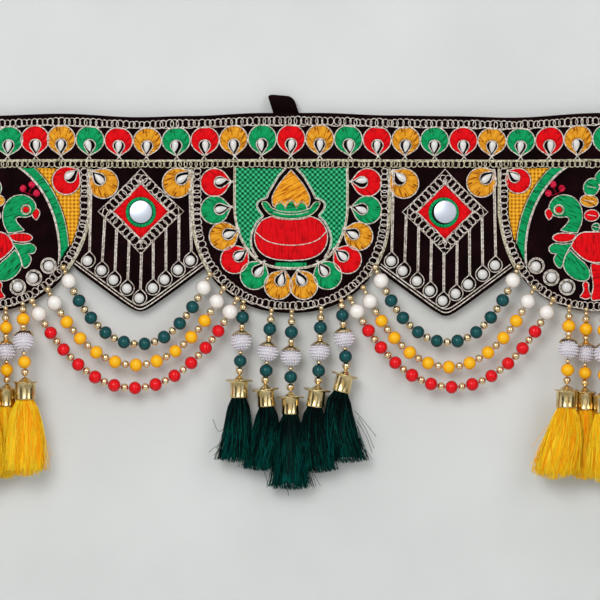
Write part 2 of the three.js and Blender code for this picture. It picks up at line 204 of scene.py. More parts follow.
def throughPoints(points, closed=False, steps=10):
    # a smooth curve through given points
    points = np.asarray(points, float)
    if len(points) < 3 and not closed:
        return points
    if closed:
        ends = np.vstack([points[-1:], points, points[:2]])
    else:
        ends = np.vstack([2 * points[:1] - points[1:2], points, 2 * points[-1:] - points[-2:-1]])
    p0, p1, p2, p3 = (ends[i:len(ends) - 3 + i, None] for i in range(4))
    t = (np.arange(steps) / steps)[None, :, None]
    curve = 0.5 * (2 * p1 + (p2 - p0) * t + (2 * p0 - 5 * p1 + 4 * p2 - p3) * t ** 2
                   + (3 * p1 - p0 - 3 * p2 + p3) * t ** 3)
    curve = curve.reshape(-1, points.shape[1])
    return curve if closed else np.vstack([curve, points[-1:]])


def outlineOf(*stretches, mirrored=False):
    # stretches meet in corners, and a mirrored outline starts and ends on the middle line
    runs = [throughPoints(run) for run in stretches]
    outline = np.vstack([run[:-1] for run in runs[:-1]] + [runs[-1]])
    if mirrored:
        other = outline[::-1] * [-1, 1]
        outline = np.vstack([outline, other[1:-1] if np.allclose(other[-1], outline[0]) else other[1:]])
    elif np.allclose(outline[0], outline[-1]):
        outline = outline[:-1]
    return outline


def ellipseOf(x, drop, across, down, turn=0, count=40):
    t = np.linspace(0, 2 * np.pi, count, endpoint=False)
    flat = np.stack([across / 2 * np.cos(t), down / 2 * np.sin(t)], 1)
    return turned(flat, turn) + [x, drop]


def turned(flat, angle):
    c, s = cos(radians(angle)), sin(radians(angle))
    return np.asarray(flat) @ np.array([[c, s], [-s, c]])


# Cords

def cellCorners(at, i, k, axis=-1):
    # what at gives for the four corners of each cell of a grid, in order round it
    return np.stack([at(i, k), at(i + 1, k), at(i + 1, k + 1), at(i, k + 1)], axis)


def addTubes(goods, paths, radius, sides=5, finish=0, closed=False, blunt=0.5, tones=None):
    # paths: tubes x points x 3; radius: one number, or one for each tube and point
    # the uv is the length along and the turn, or the share along and the tube's own tone
    paths = np.asarray(paths, float)
    tubes, n = paths.shape[:2]
    radius = np.broadcast_to(np.asarray(radius, float), (tubes, n))
    if closed:
        ahead = np.roll(paths, -1, 1) - np.roll(paths, 1, 1)
    else:
        ahead = np.gradient(paths, axis=1)
    ahead /= np.maximum(np.linalg.norm(ahead, axis=2, keepdims=True), 1e-9)
    side = np.cross(ahead, toViewer)
    side /= np.maximum(np.linalg.norm(side, axis=2, keepdims=True), 1e-9)
    out = np.cross(side, ahead)
    turn = 2 * np.pi * np.arange(sides) / sides
    rings = (paths[:, :, None] + radius[:, :, None, None]
             * (np.cos(turn)[:, None] * side[:, :, None] + np.sin(turn)[:, None] * out[:, :, None]))
    points = rings.reshape(-1, 3)
    t, i, k = np.indices((tubes, n if closed else n - 1, sides))
    at = lambda i, k: (t * n + i % n) * sides + k % sides
    quads = cellCorners(at, i, k).reshape(-1, 4)
    step = np.linalg.norm(np.roll(paths, -1, 1) - paths, axis=2)
    along = np.concatenate([np.zeros((tubes, 1)), np.cumsum(step, 1)], 1)
    if tones is not None:
        along = along / along[:, -1:]
    uvOf = lambda i, k: np.stack([along[t, i], k / sides if tones is None else tones[t]], -1)
    uv = cellCorners(uvOf, i, k, -2).reshape(-1, 4, 2)
    if closed:
        addFaces(goods, points, [quads], [uv], finish)
        return
    tips = np.concatenate([paths[:, 0] - ahead[:, 0] * radius[:, :1] * blunt,
                           paths[:, -1] + ahead[:, -1] * radius[:, -1:] * blunt])
    t, k = np.indices((tubes, sides))
    first, last = t * n * sides, (t * n + n - 1) * sides
    tip = tubes * n * sides + t
    starts = np.stack([tip, first + k, first + (k + 1) % sides], -1).reshape(-1, 3)
    ends = np.stack([tip + tubes, last + (k + 1) % sides, last + k], -1).reshape(-1, 3)
    caps = np.concatenate([starts, ends])
    capUv = np.zeros((len(caps), 3, 2))
    if tones is not None:
        atEnd, tone = np.repeat([0.0, 1.0], tubes * sides), np.tile(np.repeat(tones, sides), 2)
        capUv[:] = np.stack([atEnd, tone], 1)[:, None]
    addFaces(goods, np.concatenate([points, tips]), [quads, caps], [uv, capUv], finish)


cordForm = {"radius": 0.5, "sides": 5, "step": 1.5, "straightStep": 9.0, "sunk": 0.1}


def sewCord(goods, flat, closed=False, radius=cordForm["radius"], finish=0, straight=False, lift=0.0,
            asIs=False):
    path = flat if asIs else evenly(flat, cordForm["straightStep" if straight else "step"], closed)
    laid = onCloth(path, radius - cordForm["sunk"] + lift)
    addTubes(goods, laid[None], radius, cordForm["sides"], finish, closed)


def besideLine(flat, offset):
    # the same line, moved to its left as seen along it
    ahead = np.gradient(flat, axis=0)
    ahead /= np.maximum(np.linalg.norm(ahead, axis=1, keepdims=True), 1e-9)
    return flat + np.stack([ahead[:, 1], -ahead[:, 0]], 1) * offset


chainStitch = {"radius": 0.42, "stepsPerLoop": 15, "lift": 0.38, "hop": 0.4, "uneven": 0.14, "ring": 0.84}


def sewChain(goods, flat, pitch, reach, half, seed, finish=0, closed=False, join=1):
    # rings of cord, each over the one before, joined along one side of the line
    form = chainStitch
    line = evenly(flat, 0.8, closed)
    at = lengthsAlong(line, closed)
    if closed:
        line = np.vstack([line, line[:1]])
    ahead = np.gradient(line, axis=0)
    ahead /= np.linalg.norm(ahead, axis=1, keepdims=True)
    loops = max(2, int(round(at[-1] / pitch)))
    pitch = at[-1] / loops
    t = np.arange(loops * form["stepsPerLoop"] + (0 if closed else 1)) / form["stepsPerLoop"]
    ring, share = np.divmod(t, 1.0)
    turn = 2 * np.pi * np.clip(share / form["ring"], 0, 1)
    draw = np.random.default_rng(seed)
    drawn = lambda: draw.standard_normal(loops + 1).clip(-1.8, 1.8)
    vary = lambda scale: np.interp(t, np.arange(loops + 1), scale * drawn())
    swell, slip = 1 + vary(form["uneven"]), vary(form["uneven"] * pitch)
    s = pitch * (ring + 0.5 + smooth01((share - form["ring"] + 0.12) / (1.12 - form["ring"]))) + slip
    s = s + reach * swell * np.sin(turn)
    s = s % at[-1] if closed else np.clip(s, 0, at[-1])
    place = np.stack([np.interp(s, at, line[:, k]) for k in (0, 1)], 1)
    heading = np.stack([np.interp(s, at, ahead[:, k]) for k in (0, 1)], 1)
    left = np.stack([heading[:, 1], -heading[:, 0]], 1)
    laid = onCloth(place + left * (join * half * swell * np.cos(turn))[:, None], 0.0)
    laid[:, 1] -= form["lift"] + form["hop"] * (1 + np.sin(turn))
    addTubes(goods, laid[None], form["radius"], 5, finish, closed)


# Satin and basket stitch: patches with a clean outline, raised a little and closed at the back

def isInside(points, outline):
    x, y = points[:, :1], points[:, 1:]
    ax, ay = outline.T
    bx, by = np.roll(outline, -1, 0).T
    crossing = (ay > y) != (by > y)
    at = (bx - ax) * (y - ay) / (by - ay + 1e-12) + ax
    return (crossing & (x < at)).sum(1) % 2 == 1


def distanceTo(points, outline):
    a, b = outline, np.roll(outline, -1, 0)
    ab = b - a
    size = np.maximum((ab ** 2).sum(1), 1e-12)
    nearest = []
    for some in np.array_split(points, max(1, len(points) // 1500)):
        ap = some[:, None] - a
        t = np.clip((ap * ab).sum(2) / size, 0, 1)
        nearest.append(np.linalg.norm(ap - ab * t[:, :, None], axis=2).min(1))
    return np.concatenate(nearest)


def trianglesWithin(points, edges, outline, holes):
    # triangles inside the closed lines of edges, without those in the holes
    made = delaunay_2d_cdt([tuple(p) for p in points], edges, [], 1, 1e-5, True)
    flat, triangles = np.array([tuple(v) for v in made[0]]), np.array(made[2])
    centres = flat[triangles].mean(1)
    keep = isInside(centres, outline) | (sizesOf(flat, triangles) < 1e-6)
    for hole in holes:
        keep &= ~isInside(centres, hole)
    used, index = np.unique(triangles[keep], return_inverse=True)
    givenAs = np.array([given[0] if given else -1 for given in made[3]])
    return flat[used], index.reshape(-1, 3), givenAs[used]


def sizesOf(flat, triangles):
    a, b, c = (flat[triangles[:, k]] for k in range(3))
    return np.abs((b - a)[:, 0] * (c - a)[:, 1] - (b - a)[:, 1] * (c - a)[:, 0])


def edgesOf(lines):
    edges = []
    for line in lines:
        first = len(edges)
        edges += [(first + i, first + (i + 1) % len(line)) for i in range(len(line))]
    return edges


def runsRound(outline):
    # true when the outline runs from x towards drop
    x, drop = outline.T
    return (x * np.roll(drop, -1) - drop * np.roll(x, -1)).sum() > 0


patchSizes = {"sunk": 0.35, "wall": 0.15, "edge": 1.3, "rim": 0.9}


def sewPatch(goods, outline, height, pitch, finish=0, grain=0.0, relief=None, holes=(), edge=None):
    rim, *holes = lines = [evenly(line, patchSizes["rim"], True) for line in (outline, *holes)]
    low, high = rim.min(0), rim.max(0)
    rows = np.arange(low[1], high[1] + pitch, pitch * 0.866)
    grid = np.array([(x, row) for j, row in enumerate(rows)
                     for x in np.arange(low[0] + pitch / 2 * (j % 2), high[0] + pitch, pitch)])
    grid = grid[isInside(grid, rim)]
    for hole in holes:
        grid = grid[~isInside(grid, hole)]
    away = np.min([distanceTo(grid, line) for line in lines], axis=0)
    grid = grid[away > pitch * 0.5]
    flat, triangles = trianglesWithin(np.vstack([*lines, grid]), edgesOf(lines), rim, holes)[:2]
    away = np.min([distanceTo(flat, line) for line in lines], axis=0)
    t = np.clip(away / (edge or patchSizes["edge"]), 0, 1)
    crown = np.sqrt(1 - (1 - t) ** 2)
    grainAxes = turned(flat, grain)
    sunk = patchSizes["sunk"]
    lift = -sunk + (height + sunk) * crown
    if relief is not None:
        lift = lift + relief(grainAxes) * np.clip(away, 0, 1)
    top = onCloth(flat, 0.0)
    top[:, 1] -= lift
    uv = grainAxes[triangles]
    # a low wall goes down from the front's own edges, and the back is spanned between its foot
    sides = np.concatenate([triangles[:, [0, 1]], triangles[:, [1, 2]], triangles[:, [2, 0]]])
    _, first, times = np.unique(np.sort(sides, 1), axis=0, return_index=True, return_counts=True)
    sides = sides[first[times == 1]]
    rimPoints, rimSides = np.unique(sides, return_inverse=True)
    rimSides = rimSides.reshape(-1, 2)
    back, backTriangles, givenAs = trianglesWithin(flat[rimPoints], rimSides.tolist(), rim, holes)
    foot = rimSides + len(flat)
    walls = np.stack([sides[:, 0], sides[:, 1], foot[:, 1], foot[:, 0]], 1)
    points = np.vstack([top, onCloth(flat[rimPoints], -sunk - patchSizes["wall"])])
    # as seen from the front with drop downwards, the front runs anticlockwise
    addFaces(goods, points, [triangles[:, ::-1], len(flat) + givenAs[backTriangles], walls],
             [uv[:, ::-1], turned(back, grain)[backTriangles], np.zeros((len(walls), 4, 2))], finish)


def sewBetween(goods, inner, outer, lift, finish):
    # satin between two closed lines with the same number of points; lift has a row for each point
    rays, rings = len(inner), lift.shape[1] - 1
    t = np.linspace(0, 1, rings + 1)
    flat = inner[:, None] * (1 - t)[None, :, None] + outer[:, None] * t[None, :, None]
    top = onCloth(flat.reshape(-1, 2), 0.0)
    top[:, 1] -= lift.reshape(-1)
    under = onCloth(flat[:, [0, -1]].reshape(-1, 2), -patchSizes["sunk"])
    room = np.linalg.norm(outer - inner, axis=1)[:, None] * t[None]
    along = lengthsAlong((inner + outer) / 2, True)
    i, j = np.indices((rays, rings))
    at = lambda i, j: (i % rays) * (rings + 1) + j
    uvOf = lambda i, j: np.stack([room[i % rays, j], along[i]], -1)
    n, first = np.arange(rays), rays * (rings + 1)
    innerUnder, outerUnder = first + 2 * n, first + 2 * n + 1
    nextInner, nextOuter = np.roll(innerUnder, -1), np.roll(outerUnder, -1)
    walls = np.concatenate([
        np.stack([innerUnder, nextInner, at(n + 1, 0), at(n, 0)], -1),
        np.stack([at(n, rings), at(n + 1, rings), nextOuter, outerUnder], -1),
        np.stack([outerUnder, nextOuter, nextInner, innerUnder], -1),
    ])
    faces = np.concatenate([cellCorners(at, i, j).reshape(-1, 4), walls])
    uvs = np.concatenate([cellCorners(uvOf, i, j, -2).reshape(-1, 4, 2), np.zeros((len(walls), 4, 2))])
    if not runsRound(outer):
        faces, uvs = faces[:, ::-1], uvs[:, ::-1]
    addFaces(goods, np.vstack([top, under]), [faces], [uvs], finish)


def swellOf(rings, power):
    # how high satin swells from one edge to the other
    t = np.linspace(0, 1, rings + 1)
    return np.sqrt(np.clip(1 - (2 * t - 1) ** 2, 0, 1)) ** power


def sewShape(work, outline, height, finish, grain, edge, radius, lift=0.1, pitch=0.8, cord="cord"):
    # a patch of satin with a cord laid round it
    sewPatch(work["satin"], outline, height, pitch, finish, grain, edge=edge)
    sewCord(work[cord], outline, closed=True, radius=radius, lift=lift)


# Petals: a raised satin ring round an open window, cord on both edges, and a drop stone inside

petalForm = {
    "length": 24.8, "width": 22.4,
    "windowLength": 13.2, "windowWidth": 9.2, "windowBack": 0.6,
    "rays": 72, "rings": 6, "height": 1.15,
    "stoneLength": 9.8, "stoneWidth": 5.5, "stoneHeight": 2.8,
    "tail": 3.0, "tailSpread": 2.0, "cord": 0.5, "cordLift": 0.35, "windowCord": 0.475, "windowLift": 0.3,
    # satin: its curve across, how uneven the stitches are, how it thins where there is little room
    "swell": 0.8, "ribs": 0.1, "roomy": 3.0, "thinnest": 0.25, "sunk": 0.15,
    # the stone: how far askew, how far aside, and how far from the window's end
    "askew": 8.0, "slip": 0.7, "stoneInset": 1.1,
}
colourOrder = ("red", "yellow", "green")


def dropOutline(length, width, count):
    # a circle with a straight-sided tip at the end of the length, which is the first point
    radius = width / 2
    reach = length - radius
    touch = acos(radius / reach)
    t = 2 * np.pi * np.arange(count) / count
    off = np.minimum(t, 2 * np.pi - t)
    out = np.where(off < touch, radius / np.cos(np.minimum(touch - off, 1.5)), radius)
    return np.stack([np.cos(t) * out + radius - length / 2, np.sin(t) * out], 1)


def dropAt(tip, toTip, length, width, count, shift):
    # a drop that points along toTip; its own tip is at tip when shift is its length
    flat = dropOutline(length, width, count)
    return tip + (flat[:, :1] - shift / 2) * toTip + flat[:, 1:] * [-toTip[1], toTip[0]]


def sewPetal(work, x, drop, tipX, tipDrop, colour, draw, size=1.0, tails=1.0):
    # the petal's tip is at tipX, tipDrop and its middle lies towards x, drop
    form = petalForm
    tip = np.array([tipX, tipDrop], float)
    toTip = tip - [x, drop]
    toTip /= np.linalg.norm(toTip)
    across = np.array([-toTip[1], toTip[0]])
    rays, length, windowLength = form["rays"], form["length"] * size, form["windowLength"] * size
    windowTip = windowLength + 2 * form["windowBack"]
    outer = dropAt(tip, toTip, length, form["width"] * size, rays, length)
    window = dropAt(tip, toTip, windowLength, form["windowWidth"] * size, rays, windowTip)
    ribs = 1 + form["ribs"] * draw.standard_normal(rays)[:, None].clip(-1.5, 1.5)
    room = np.linalg.norm(outer - window, axis=1)[:, None]
    thin = np.clip(room / form["roomy"], form["thinnest"], 1.0)
    lift = form["height"] * swellOf(form["rings"], form["swell"])[None] * ribs * thin - form["sunk"]
    sewBetween(work["satin"], window, outer, lift, colourOrder.index(colour))

    around = np.vstack([outer, outer[:1]])
    if tails:
        spread, reach = form["tailSpread"] * tails, form["tail"] * tails
        ends = [tip + toTip * reach - across * spread, tip + toTip * reach + across * spread]
        if np.dot(outer[1] - tip, across) > 0:
            ends.reverse()
        around = np.vstack([ends[1], tip, outer[1:], tip, ends[0]])
    sewCord(work["cord"], around, radius=form["cord"], lift=form["cordLift"])
    sewCord(work["cord"], window, closed=True, radius=form["windowCord"], lift=form["windowLift"])

    # the stone lies a little askew against the window's round end
    askew = draw.normal(0, form["askew"])
    slip = draw.normal(0.1, form["slip"])
    back = windowTip - form["stoneLength"] * size / 2 - form["stoneInset"]
    middle = tip - toTip * back + across * slip
    heading = degrees(atan2(toTip[1], toTip[0])) + askew
    work["drops"].append((*middle, heading, size))


# Flat work in satin and basket stitch, in the panels

basket = {"pitch": 4.3, "dip": 0.34}


def basketRelief(grainAxes):
    c = np.cos(2 * np.pi * grainAxes / basket["pitch"]).prod(1)
    return -basket["dip"] * smooth01((c - 0.1) / 0.8) + 0.1 * (1 - c)


def newWork():
    piles = ("satin", "basket", "cord", "greenCord", "chain", "greenChain")
    return {**{pile: newGoods() for pile in piles}, "drops": [], "rounds": []}


bandForm = {
    "left": -320.0, "right": 328.0,
    "topChain": 6.6, "lowerChain": 40.8, "chainPitch": 4.3, "reach": 2.75, "half": 3.3,
    "lowerPitch": 4.2, "lowerReach": 2.75, "lowerHalf": 2.8, "lowerCords": (-3.5, -2.6),
    "petalMiddle": 21.4, "petalTip": 34.2, "petalPitch": 22.96, "tightPitch": 21.0, "evenUntil": 8,
    "count": 13, "endBorder": 5.0,
}


def sewBand(work):
    form = bandForm
    left, right = form["left"] + form["endBorder"], form["right"] - form["endBorder"]
    line = lambda drop: np.stack([np.linspace(left, right, 60), np.full(60, drop)], 1)
    top, lower = form["topChain"], form["lowerChain"]
    sewChain(work["chain"], line(top), form["chainPitch"], form["reach"], form["half"], 11, join=-1)
    sewChain(work["greenChain"], line(lower), form["lowerPitch"], form["lowerReach"], form["lowerHalf"], 12)
    for offset in form["lowerCords"]:
        sewCord(work["greenCord"], line(lower + offset), radius=0.48, straight=True)
    draw = np.random.default_rng(21)
    for k in range(-form["count"], form["count"] + 1):
        x = k * form["petalPitch"]
        if k < -form["evenUntil"]:
            x = -form["evenUntil"] * form["petalPitch"] + (k + form["evenUntil"]) * form["tightPitch"]
        lean = draw.normal(0, 0.5)
        sewPetal(work, x, form["petalMiddle"], x + lean, form["petalTip"], colourOrder[k % 3], draw)


# The round panels' chain border, with its straight cords on the outer side down to the notch

roundBorder = {
    "pitch": 4.55, "reach": 2.8, "half": 3.0, "top": 44.6, "centre": 80.4, "blend": 50.0,
    "cords": (3.7, 4.7),
    # radius below the shoulder, and how far the upright stretches stand from the middle
    "far_left": {"radius": 72.8, "left": 75.4, "right": 76.4, "notch": 38},
    "middle": {"radius": 73.8, "left": 75.2, "right": 74.8, "notch": 41},
    "far_right": {"radius": 74.4, "left": 79.2, "right": 75.4, "notch": 38},
}


def borderLine(name, offset=0.0, upTo=90):
    # from the lower chain down the left side, round, and up the right side
    form, own = roundBorder, roundBorder[name]
    middle, full = panels[name][1], panels[name][5]
    halves = []
    for side, sign in (("left", -1), ("right", 1)):
        angle = np.linspace(0, upTo, 26)
        extra = (own[side] - own["radius"]) * np.clip(1 - angle / form["blend"], 0, 1) ** 2
        turn = np.radians(angle)
        fuller = (np.cos(turn) ** full + np.sin(turn) ** full) ** (-1 / full)
        radius = (own["radius"] + extra) * fuller + offset
        arc = np.stack([middle + sign * radius * np.cos(turn), form["centre"] + radius * np.sin(turn)], 1)
        upright = [(arc[0, 0], drop) for drop in np.linspace(form["top"], form["centre"], 8, endpoint=False)]
        halves.append(np.vstack([upright, arc]))
    return halves


def sewRoundBorder(work, name, seed):
    form, own = roundBorder, roundBorder[name]
    left, right = borderLine(name)
    whole = np.vstack([left, right[::-1][1:]])
    sewChain(work["chain"], whole, form["pitch"], form["reach"], form["half"], seed, join=-1)
    for side in ("left", "right"):
        atCloth = name == "far_" + side  # on the cloth's free end one cord fits
        for n, offset in enumerate(form["cords"][:1] if atCloth else form["cords"]):
            upTo = 88 if atCloth else own["notch"] - 2 * n
            sewCord(work["greenCord"], borderLine(name, offset, upTo)[side == "right"])


# The middle panel: a kalash, the pot with leaves and coconut, in a round field ringed with petals

kalash = {
    # petals on the left, repeated on the right: colour, middle, tip
    "petals": (
        ("red", -60.0, 55.6, -47.6, 55.0),
        ("green", -60.0, 77.4, -47.8, 75.2),
        ("yellow", -55.0, 99.0, -41.8, 93.2),
        ("red", -46.2, 118.2, -34.4, 109.0),
        ("green", -30.6, 131.8, -21.4, 119.0),
        ("yellow", -10.2, 138.2, -5.0, 125.4),
    ),
    # raised by, and the pitch of the patch's own points, for the basket stitch of the field
    "field": 0.62, "fieldPitch": 0.72,
    # round the shadow line: where the field begins, and the second cord
    "fieldGap": 1.4, "secondCord": 0.95, "rimGap": 1.1,
}


def fieldRim():
    # half of the round field's edge, from the top down to the middle of the foot
    return throughPoints([(-44.4, 43.6), (-44.6, 62), (-44.2, 82), (-41, 96), (-35, 108),
                          (-26, 117.6), (-14, 122.6), (0, 124)])


def potShadow():
    # half of the line that runs round pot, leaves and coconut, from the top down
    return outlineOf([(-4.4, 43.6), (-7.6, 47), (-10.8, 50.8), (-14.8, 57.6), (-18.2, 63.6), (-19.8, 67.6)],
                     [(-19.8, 67.6), (-24.4, 69.2), (-27.6, 72.6), (-26.4, 77.6), (-22.8, 82.4)],
                     [(-22.8, 82.4), (-27.6, 87.4), (-31.4, 95), (-32.6, 102), (-31, 109.6), (-27.2, 116)])


def sewKalash(work):
    draw = np.random.default_rng(31)
    for colour, x, drop, tipX, tipDrop in kalash["petals"]:
        for sign in (-1, 1):
            sewPetal(work, -sign * x, drop, -sign * tipX, tipDrop, colour, draw, tails=0.4)

    rim, shadow = fieldRim(), potShadow()
    form = kalash
    away = besideLine(shadow, form["fieldGap"])
    below = next(i for i, p in enumerate(away) if p[1] > 109)
    inner = besideLine(rim, -form["rimGap"])
    innerEnd = next(i for i, p in enumerate(inner) if p[1] > 110.5)
    half = np.vstack([away[:below], inner[:innerEnd][::-1]])
    for sign in (1, -1):
        sewPatch(work["basket"], half * [sign, 1], form["field"], form["fieldPitch"], relief=basketRelief)
        sewCord(work["cord"], shadow * [sign, 1])
        sewCord(work["cord"], besideLine(shadow, form["secondCord"]) * [sign, 1], radius=0.42)
    whole = np.vstack([rim, (rim[::-1] * [-1, 1])[1:]])
    sewCord(work["cord"], whole, radius=0.62)
    sewCord(work["greenCord"], besideLine(whole, -form["rimGap"]))

    pot = outlineOf([(0, 85.4), (-9.6, 84.6), (-15.4, 82.6)],
                    [(-15.4, 82.6), (-23.2, 86), (-28, 93), (-29.2, 100), (-27.4, 107.4), (-22, 113.4),
                     (-13, 117), (0, 118.2)], mirrored=True)
    sewShape(work, pot, 1.35, 5, 90.0, 5.0, 0.5, pitch=0.95)
    shine = throughPoints([(-28.4, 95), (-21, 101.4), (-12, 104.6), (0, 105.8), (12, 104.8), (22, 101),
                           (29, 94)])
    sewCord(work["cord"], shine, radius=0.42, lift=1.35)

    coconut = outlineOf([(0, 45.6), (-5.6, 51.8), (-11, 59), (-14.8, 66.6), (-15, 71.6), (-12.6, 75.4),
                         (0, 77)], mirrored=True)
    sewShape(work, coconut, 1.3, 4, 28.0, 4.0, 0.38, 0.05, 0.95)

    leaves = outlineOf([(0, 84.8), (-8.8, 83.8), (-16.8, 81), (-21.6, 76.2), (-23.6, 71.4)],
                       [(-23.6, 71.4), (-20.6, 70.8), (-18, 72.4), (-15.4, 76), (-12.8, 77.2)],
                       [(-12.8, 77.2), (-12.3, 74), (-10.8, 71.8), (-8.5, 70.9), (-6.3, 71.9), (-4.9, 74),
                        (-4.4, 76.6)],
                       [(-4.4, 76.6), (-4, 73.4), (-2.6, 70.7), (0, 69.6)], mirrored=True)
    sewShape(work, leaves, 1.55, 2, 12.0, 2.4, 0.5, 0.9, cord="greenCord")
    for drop in (78.4, 80.4):
        fold = [(-14, drop - 1.4), (-7, drop + 0.4), (0, drop + 0.9), (7, drop + 0.4), (14, drop - 1.4)]
        sewCord(work["cord"], throughPoints(fold), radius=0.36, lift=1.5)

    foot = np.array([(-12.6, 119.4), (-13.2, 123.4), (-6, 124.4), (6, 124.4), (13.2, 123.4), (12.6, 119.4)])
    sewPatch(work["satin"], foot, 0.8, 0.8, 2, 90.0)
    sewRoundBorder(work, "middle", 13)


# The pointed panels: a mirror in a diamond of satin and looped cord, and nine cords that end in
# looped stones along the two slanting edges

pointed = {
    "satinReach": 21.6, "satinHeight": 0.85, "ringOuter": 12.2, "ringInner": 9.3, "ringHeight": 1.5,
    "rays": 96, "ringRings": 5, "ringSwell": 0.7,
    # the loops round the diamond, and the cord round them
    "loopReach": 28.0, "loopPitch": 4.7, "loopAlong": 2.8, "loopAcross": 3.7, "outerReach": 34.2,
    "edgeCords": (3.0, 5.3), "edgeTip": 3.9,
    "lines": 9, "lineTop": 45.0, "doubleCord": 0.62, "lineCord": 0.56, "endLean": 1.4,
    "stoneFromTip": 10.8, "loopRadius": 5.6, "apex": 7.8, "stoneSize": 4.1,
    # how far a stone stands aside from its cord, and how unevenly they are sewn, across and down
    "stoneAside": 0.9, "sway": (0.5, 0.3),
    "petalSize": 1.06,
    "left": {
        "diamond": (-120.0, 78.8), "ringShift": 0,
        "petals": ((-150.0, 56.4, -159.8, 46.2), (-91.8, 56.8, -80.6, 46.0)),
        "first": -161.0, "last": -79.6, "edge": (-174.4, -66.0), "stoneSlant": 0.733,
        "leans": (0, 2.1, 1.3, 1.1, 0.9, 0, 0, 0.3, 0),
    },
    "right": {
        "diamond": (123.2, 79.2), "ringShift": -1.1,
        "petals": ((90.4, 56.6, 80.2, 46.2), (151.6, 56.2, 163.0, 46.0)),
        "first": 80.6, "last": 163.6, "edge": (69.4, 177.8), "stoneSlant": 0.763,
        "leans": (0, 1.2, 0.8, 0.5, 0.2, 0.4, -0.2, -0.5, 0),
    },
}


def diamondLine(x, drop, reach, count=16, waist=0.0):
    corners = np.array([(0, -reach), (reach, 0), (0, reach), (-reach, 0)], float)
    sides = []
    for i in range(4):
        t = np.linspace(0, 1, count, endpoint=False)[:, None]
        side = corners[i] * (1 - t) + corners[(i + 1) % 4] * t
        sides.append(side * (1 - waist * np.sin(np.pi * t)))
    return np.vstack(sides) + [x, drop]


def sewRing(work, inner, outer, height, colour):
    lift = np.tile(height * swellOf(pointed["ringRings"], pointed["ringSwell"]), (len(inner), 1))
    sewBetween(work["satin"], inner, outer, lift, colourOrder.index(colour))


def sewPointed(work, name, seed):
    form, own = pointed, pointed[name]
    draw = np.random.default_rng(seed)
    for x, drop, tipX, tipDrop in own["petals"]:
        sewPetal(work, x, drop, tipX, tipDrop, "yellow", draw, form["petalSize"], tails=0)

    x, drop = own["diamond"]
    rays = form["rays"]
    turn = 2 * np.pi * np.arange(rays) / rays  # from the top corner, in step with the diamond
    circle = lambda r: np.stack([x + own["ringShift"] + r * np.sin(turn), drop + 0.6 - r * np.cos(turn)], 1)
    satinEdge = diamondLine(x, drop, form["satinReach"], rays // 4)
    sewRing(work, circle(form["ringOuter"] - 0.3), satinEdge, form["satinHeight"], "red")
    sewRing(work, circle(form["ringInner"]), circle(form["ringOuter"]), form["ringHeight"], "green")
    sewChain(work["chain"], diamondLine(x, drop, form["loopReach"]), form["loopPitch"], form["loopAlong"],
             form["loopAcross"], seed + 1, closed=True, join=-1)
    for reach, waist, radius in ((form["outerReach"], 0.02, 0.4), (form["satinReach"] + 0.5, 0, 0.36)):
        sewCord(work["cord"], diamondLine(x, drop, reach, waist=waist), closed=True, radius=radius, asIs=True)

    # cords along the slanting edges
    middle = panels[name][1]
    for offset in form["edgeCords"]:
        across = np.linspace(own["edge"][0] + 0.5 * offset, own["edge"][1] - 0.5 * offset, 60)
        edge = (panels[name][3] + slant * (panels[name][4] - np.hypot(across - middle, form["edgeTip"]))
                - offset * hypot(1, slant))
        sewCord(work["cord"], np.stack([across, edge], 1), radius=0.54)

    # nine cords, each ending in a loop round a stone
    for i in range(form["lines"]):
        t = i / (form["lines"] - 1)
        lineX = own["first"] + (own["last"] - own["first"]) * t
        stoneX = lineX - form["stoneAside"] + draw.normal(0, form["sway"][0])
        stoneDrop = panels[name][3] - own["stoneSlant"] * abs(lineX - middle) - form["stoneFromTip"]
        stoneDrop += draw.normal(0, form["sway"][1])
        apexDrop = stoneDrop - form["apex"]
        lean = own["leans"][i]
        across = abs(lineX + lean - x)
        top = max(form["lineTop"], drop + form["outerReach"] - across - 1.0)
        if i in (0, form["lines"] - 1):  # these two start beside the round panels' borders
            top, lean = form["lineTop"], copysign(form["endLean"], middle - lineX)
        for side in (-1, 1):
            offset = side * form["doubleCord"]
            sewCord(work["cord"], [(lineX + offset + lean, top), (lineX + offset * 0.9, apexDrop + 1)],
                    radius=form["lineCord"], straight=True)
        loop = dropOutline(form["apex"] + form["loopRadius"], form["loopRadius"] * 2, 30)
        half = (form["apex"] + form["loopRadius"]) / 2
        flat = np.stack([stoneX + (lineX - stoneX) * (loop[:, 0] + half) / (2 * half) + loop[:, 1],
                         apexDrop + half - loop[:, 0]], 1)
        sewCord(work["cord"], flat, closed=True, radius=0.44)
        work["rounds"].append((stoneX, stoneDrop, form["stoneSize"]))


# The outer panels: a pair of peacocks back to back under an arch, their shared tail fanned between

peacocks = {
    "far_left": -244.4, "far_right": 246.8,
    # how far in from the border the red petals stand, and their size
    "petals": {"far_left": (12.4, 1.0), "far_right": (9.0, 0.9)},
    "archWidth": 128.0, "archHeight": 81.4, "archFoot": 112.0, "outerEdge": 2.7, "innerEdge": -4.2,
    "stones": ((50.6, 122.2), (38.8, 131.8), (26.0, 139.4)), "stoneRings": ((12.4, 0.5), (10.4, 0.42)),
    "stoneSize": 4.2, "sway": 0.3,
    "berries": ((37.2, 57.2), (30.2, 60.4), (41.0, 64.2)), "berryStem": (34.4, 65.0),
    "eye": (32.6, 77.4),
    # raised by, and the pitch of the patch's own points, for the basket stitch; its gap round the petal
    "ground": 0.6, "groundPitch": 0.72, "petalGap": 0.3,
}


def archLine(offset, upTo):
    # half of the arch, from the lower chain down to its foot: an ellipse, moved out by the offset
    form = peacocks
    across, down = form["archWidth"] / 2 + offset, form["archHeight"] + offset
    top = asin(min(1, (form["archFoot"] - 43.8) / down))
    turn = np.linspace(top, -upTo / down, 40)
    return np.stack([across * np.cos(turn), form["archFoot"] - down * np.sin(turn)], 1)


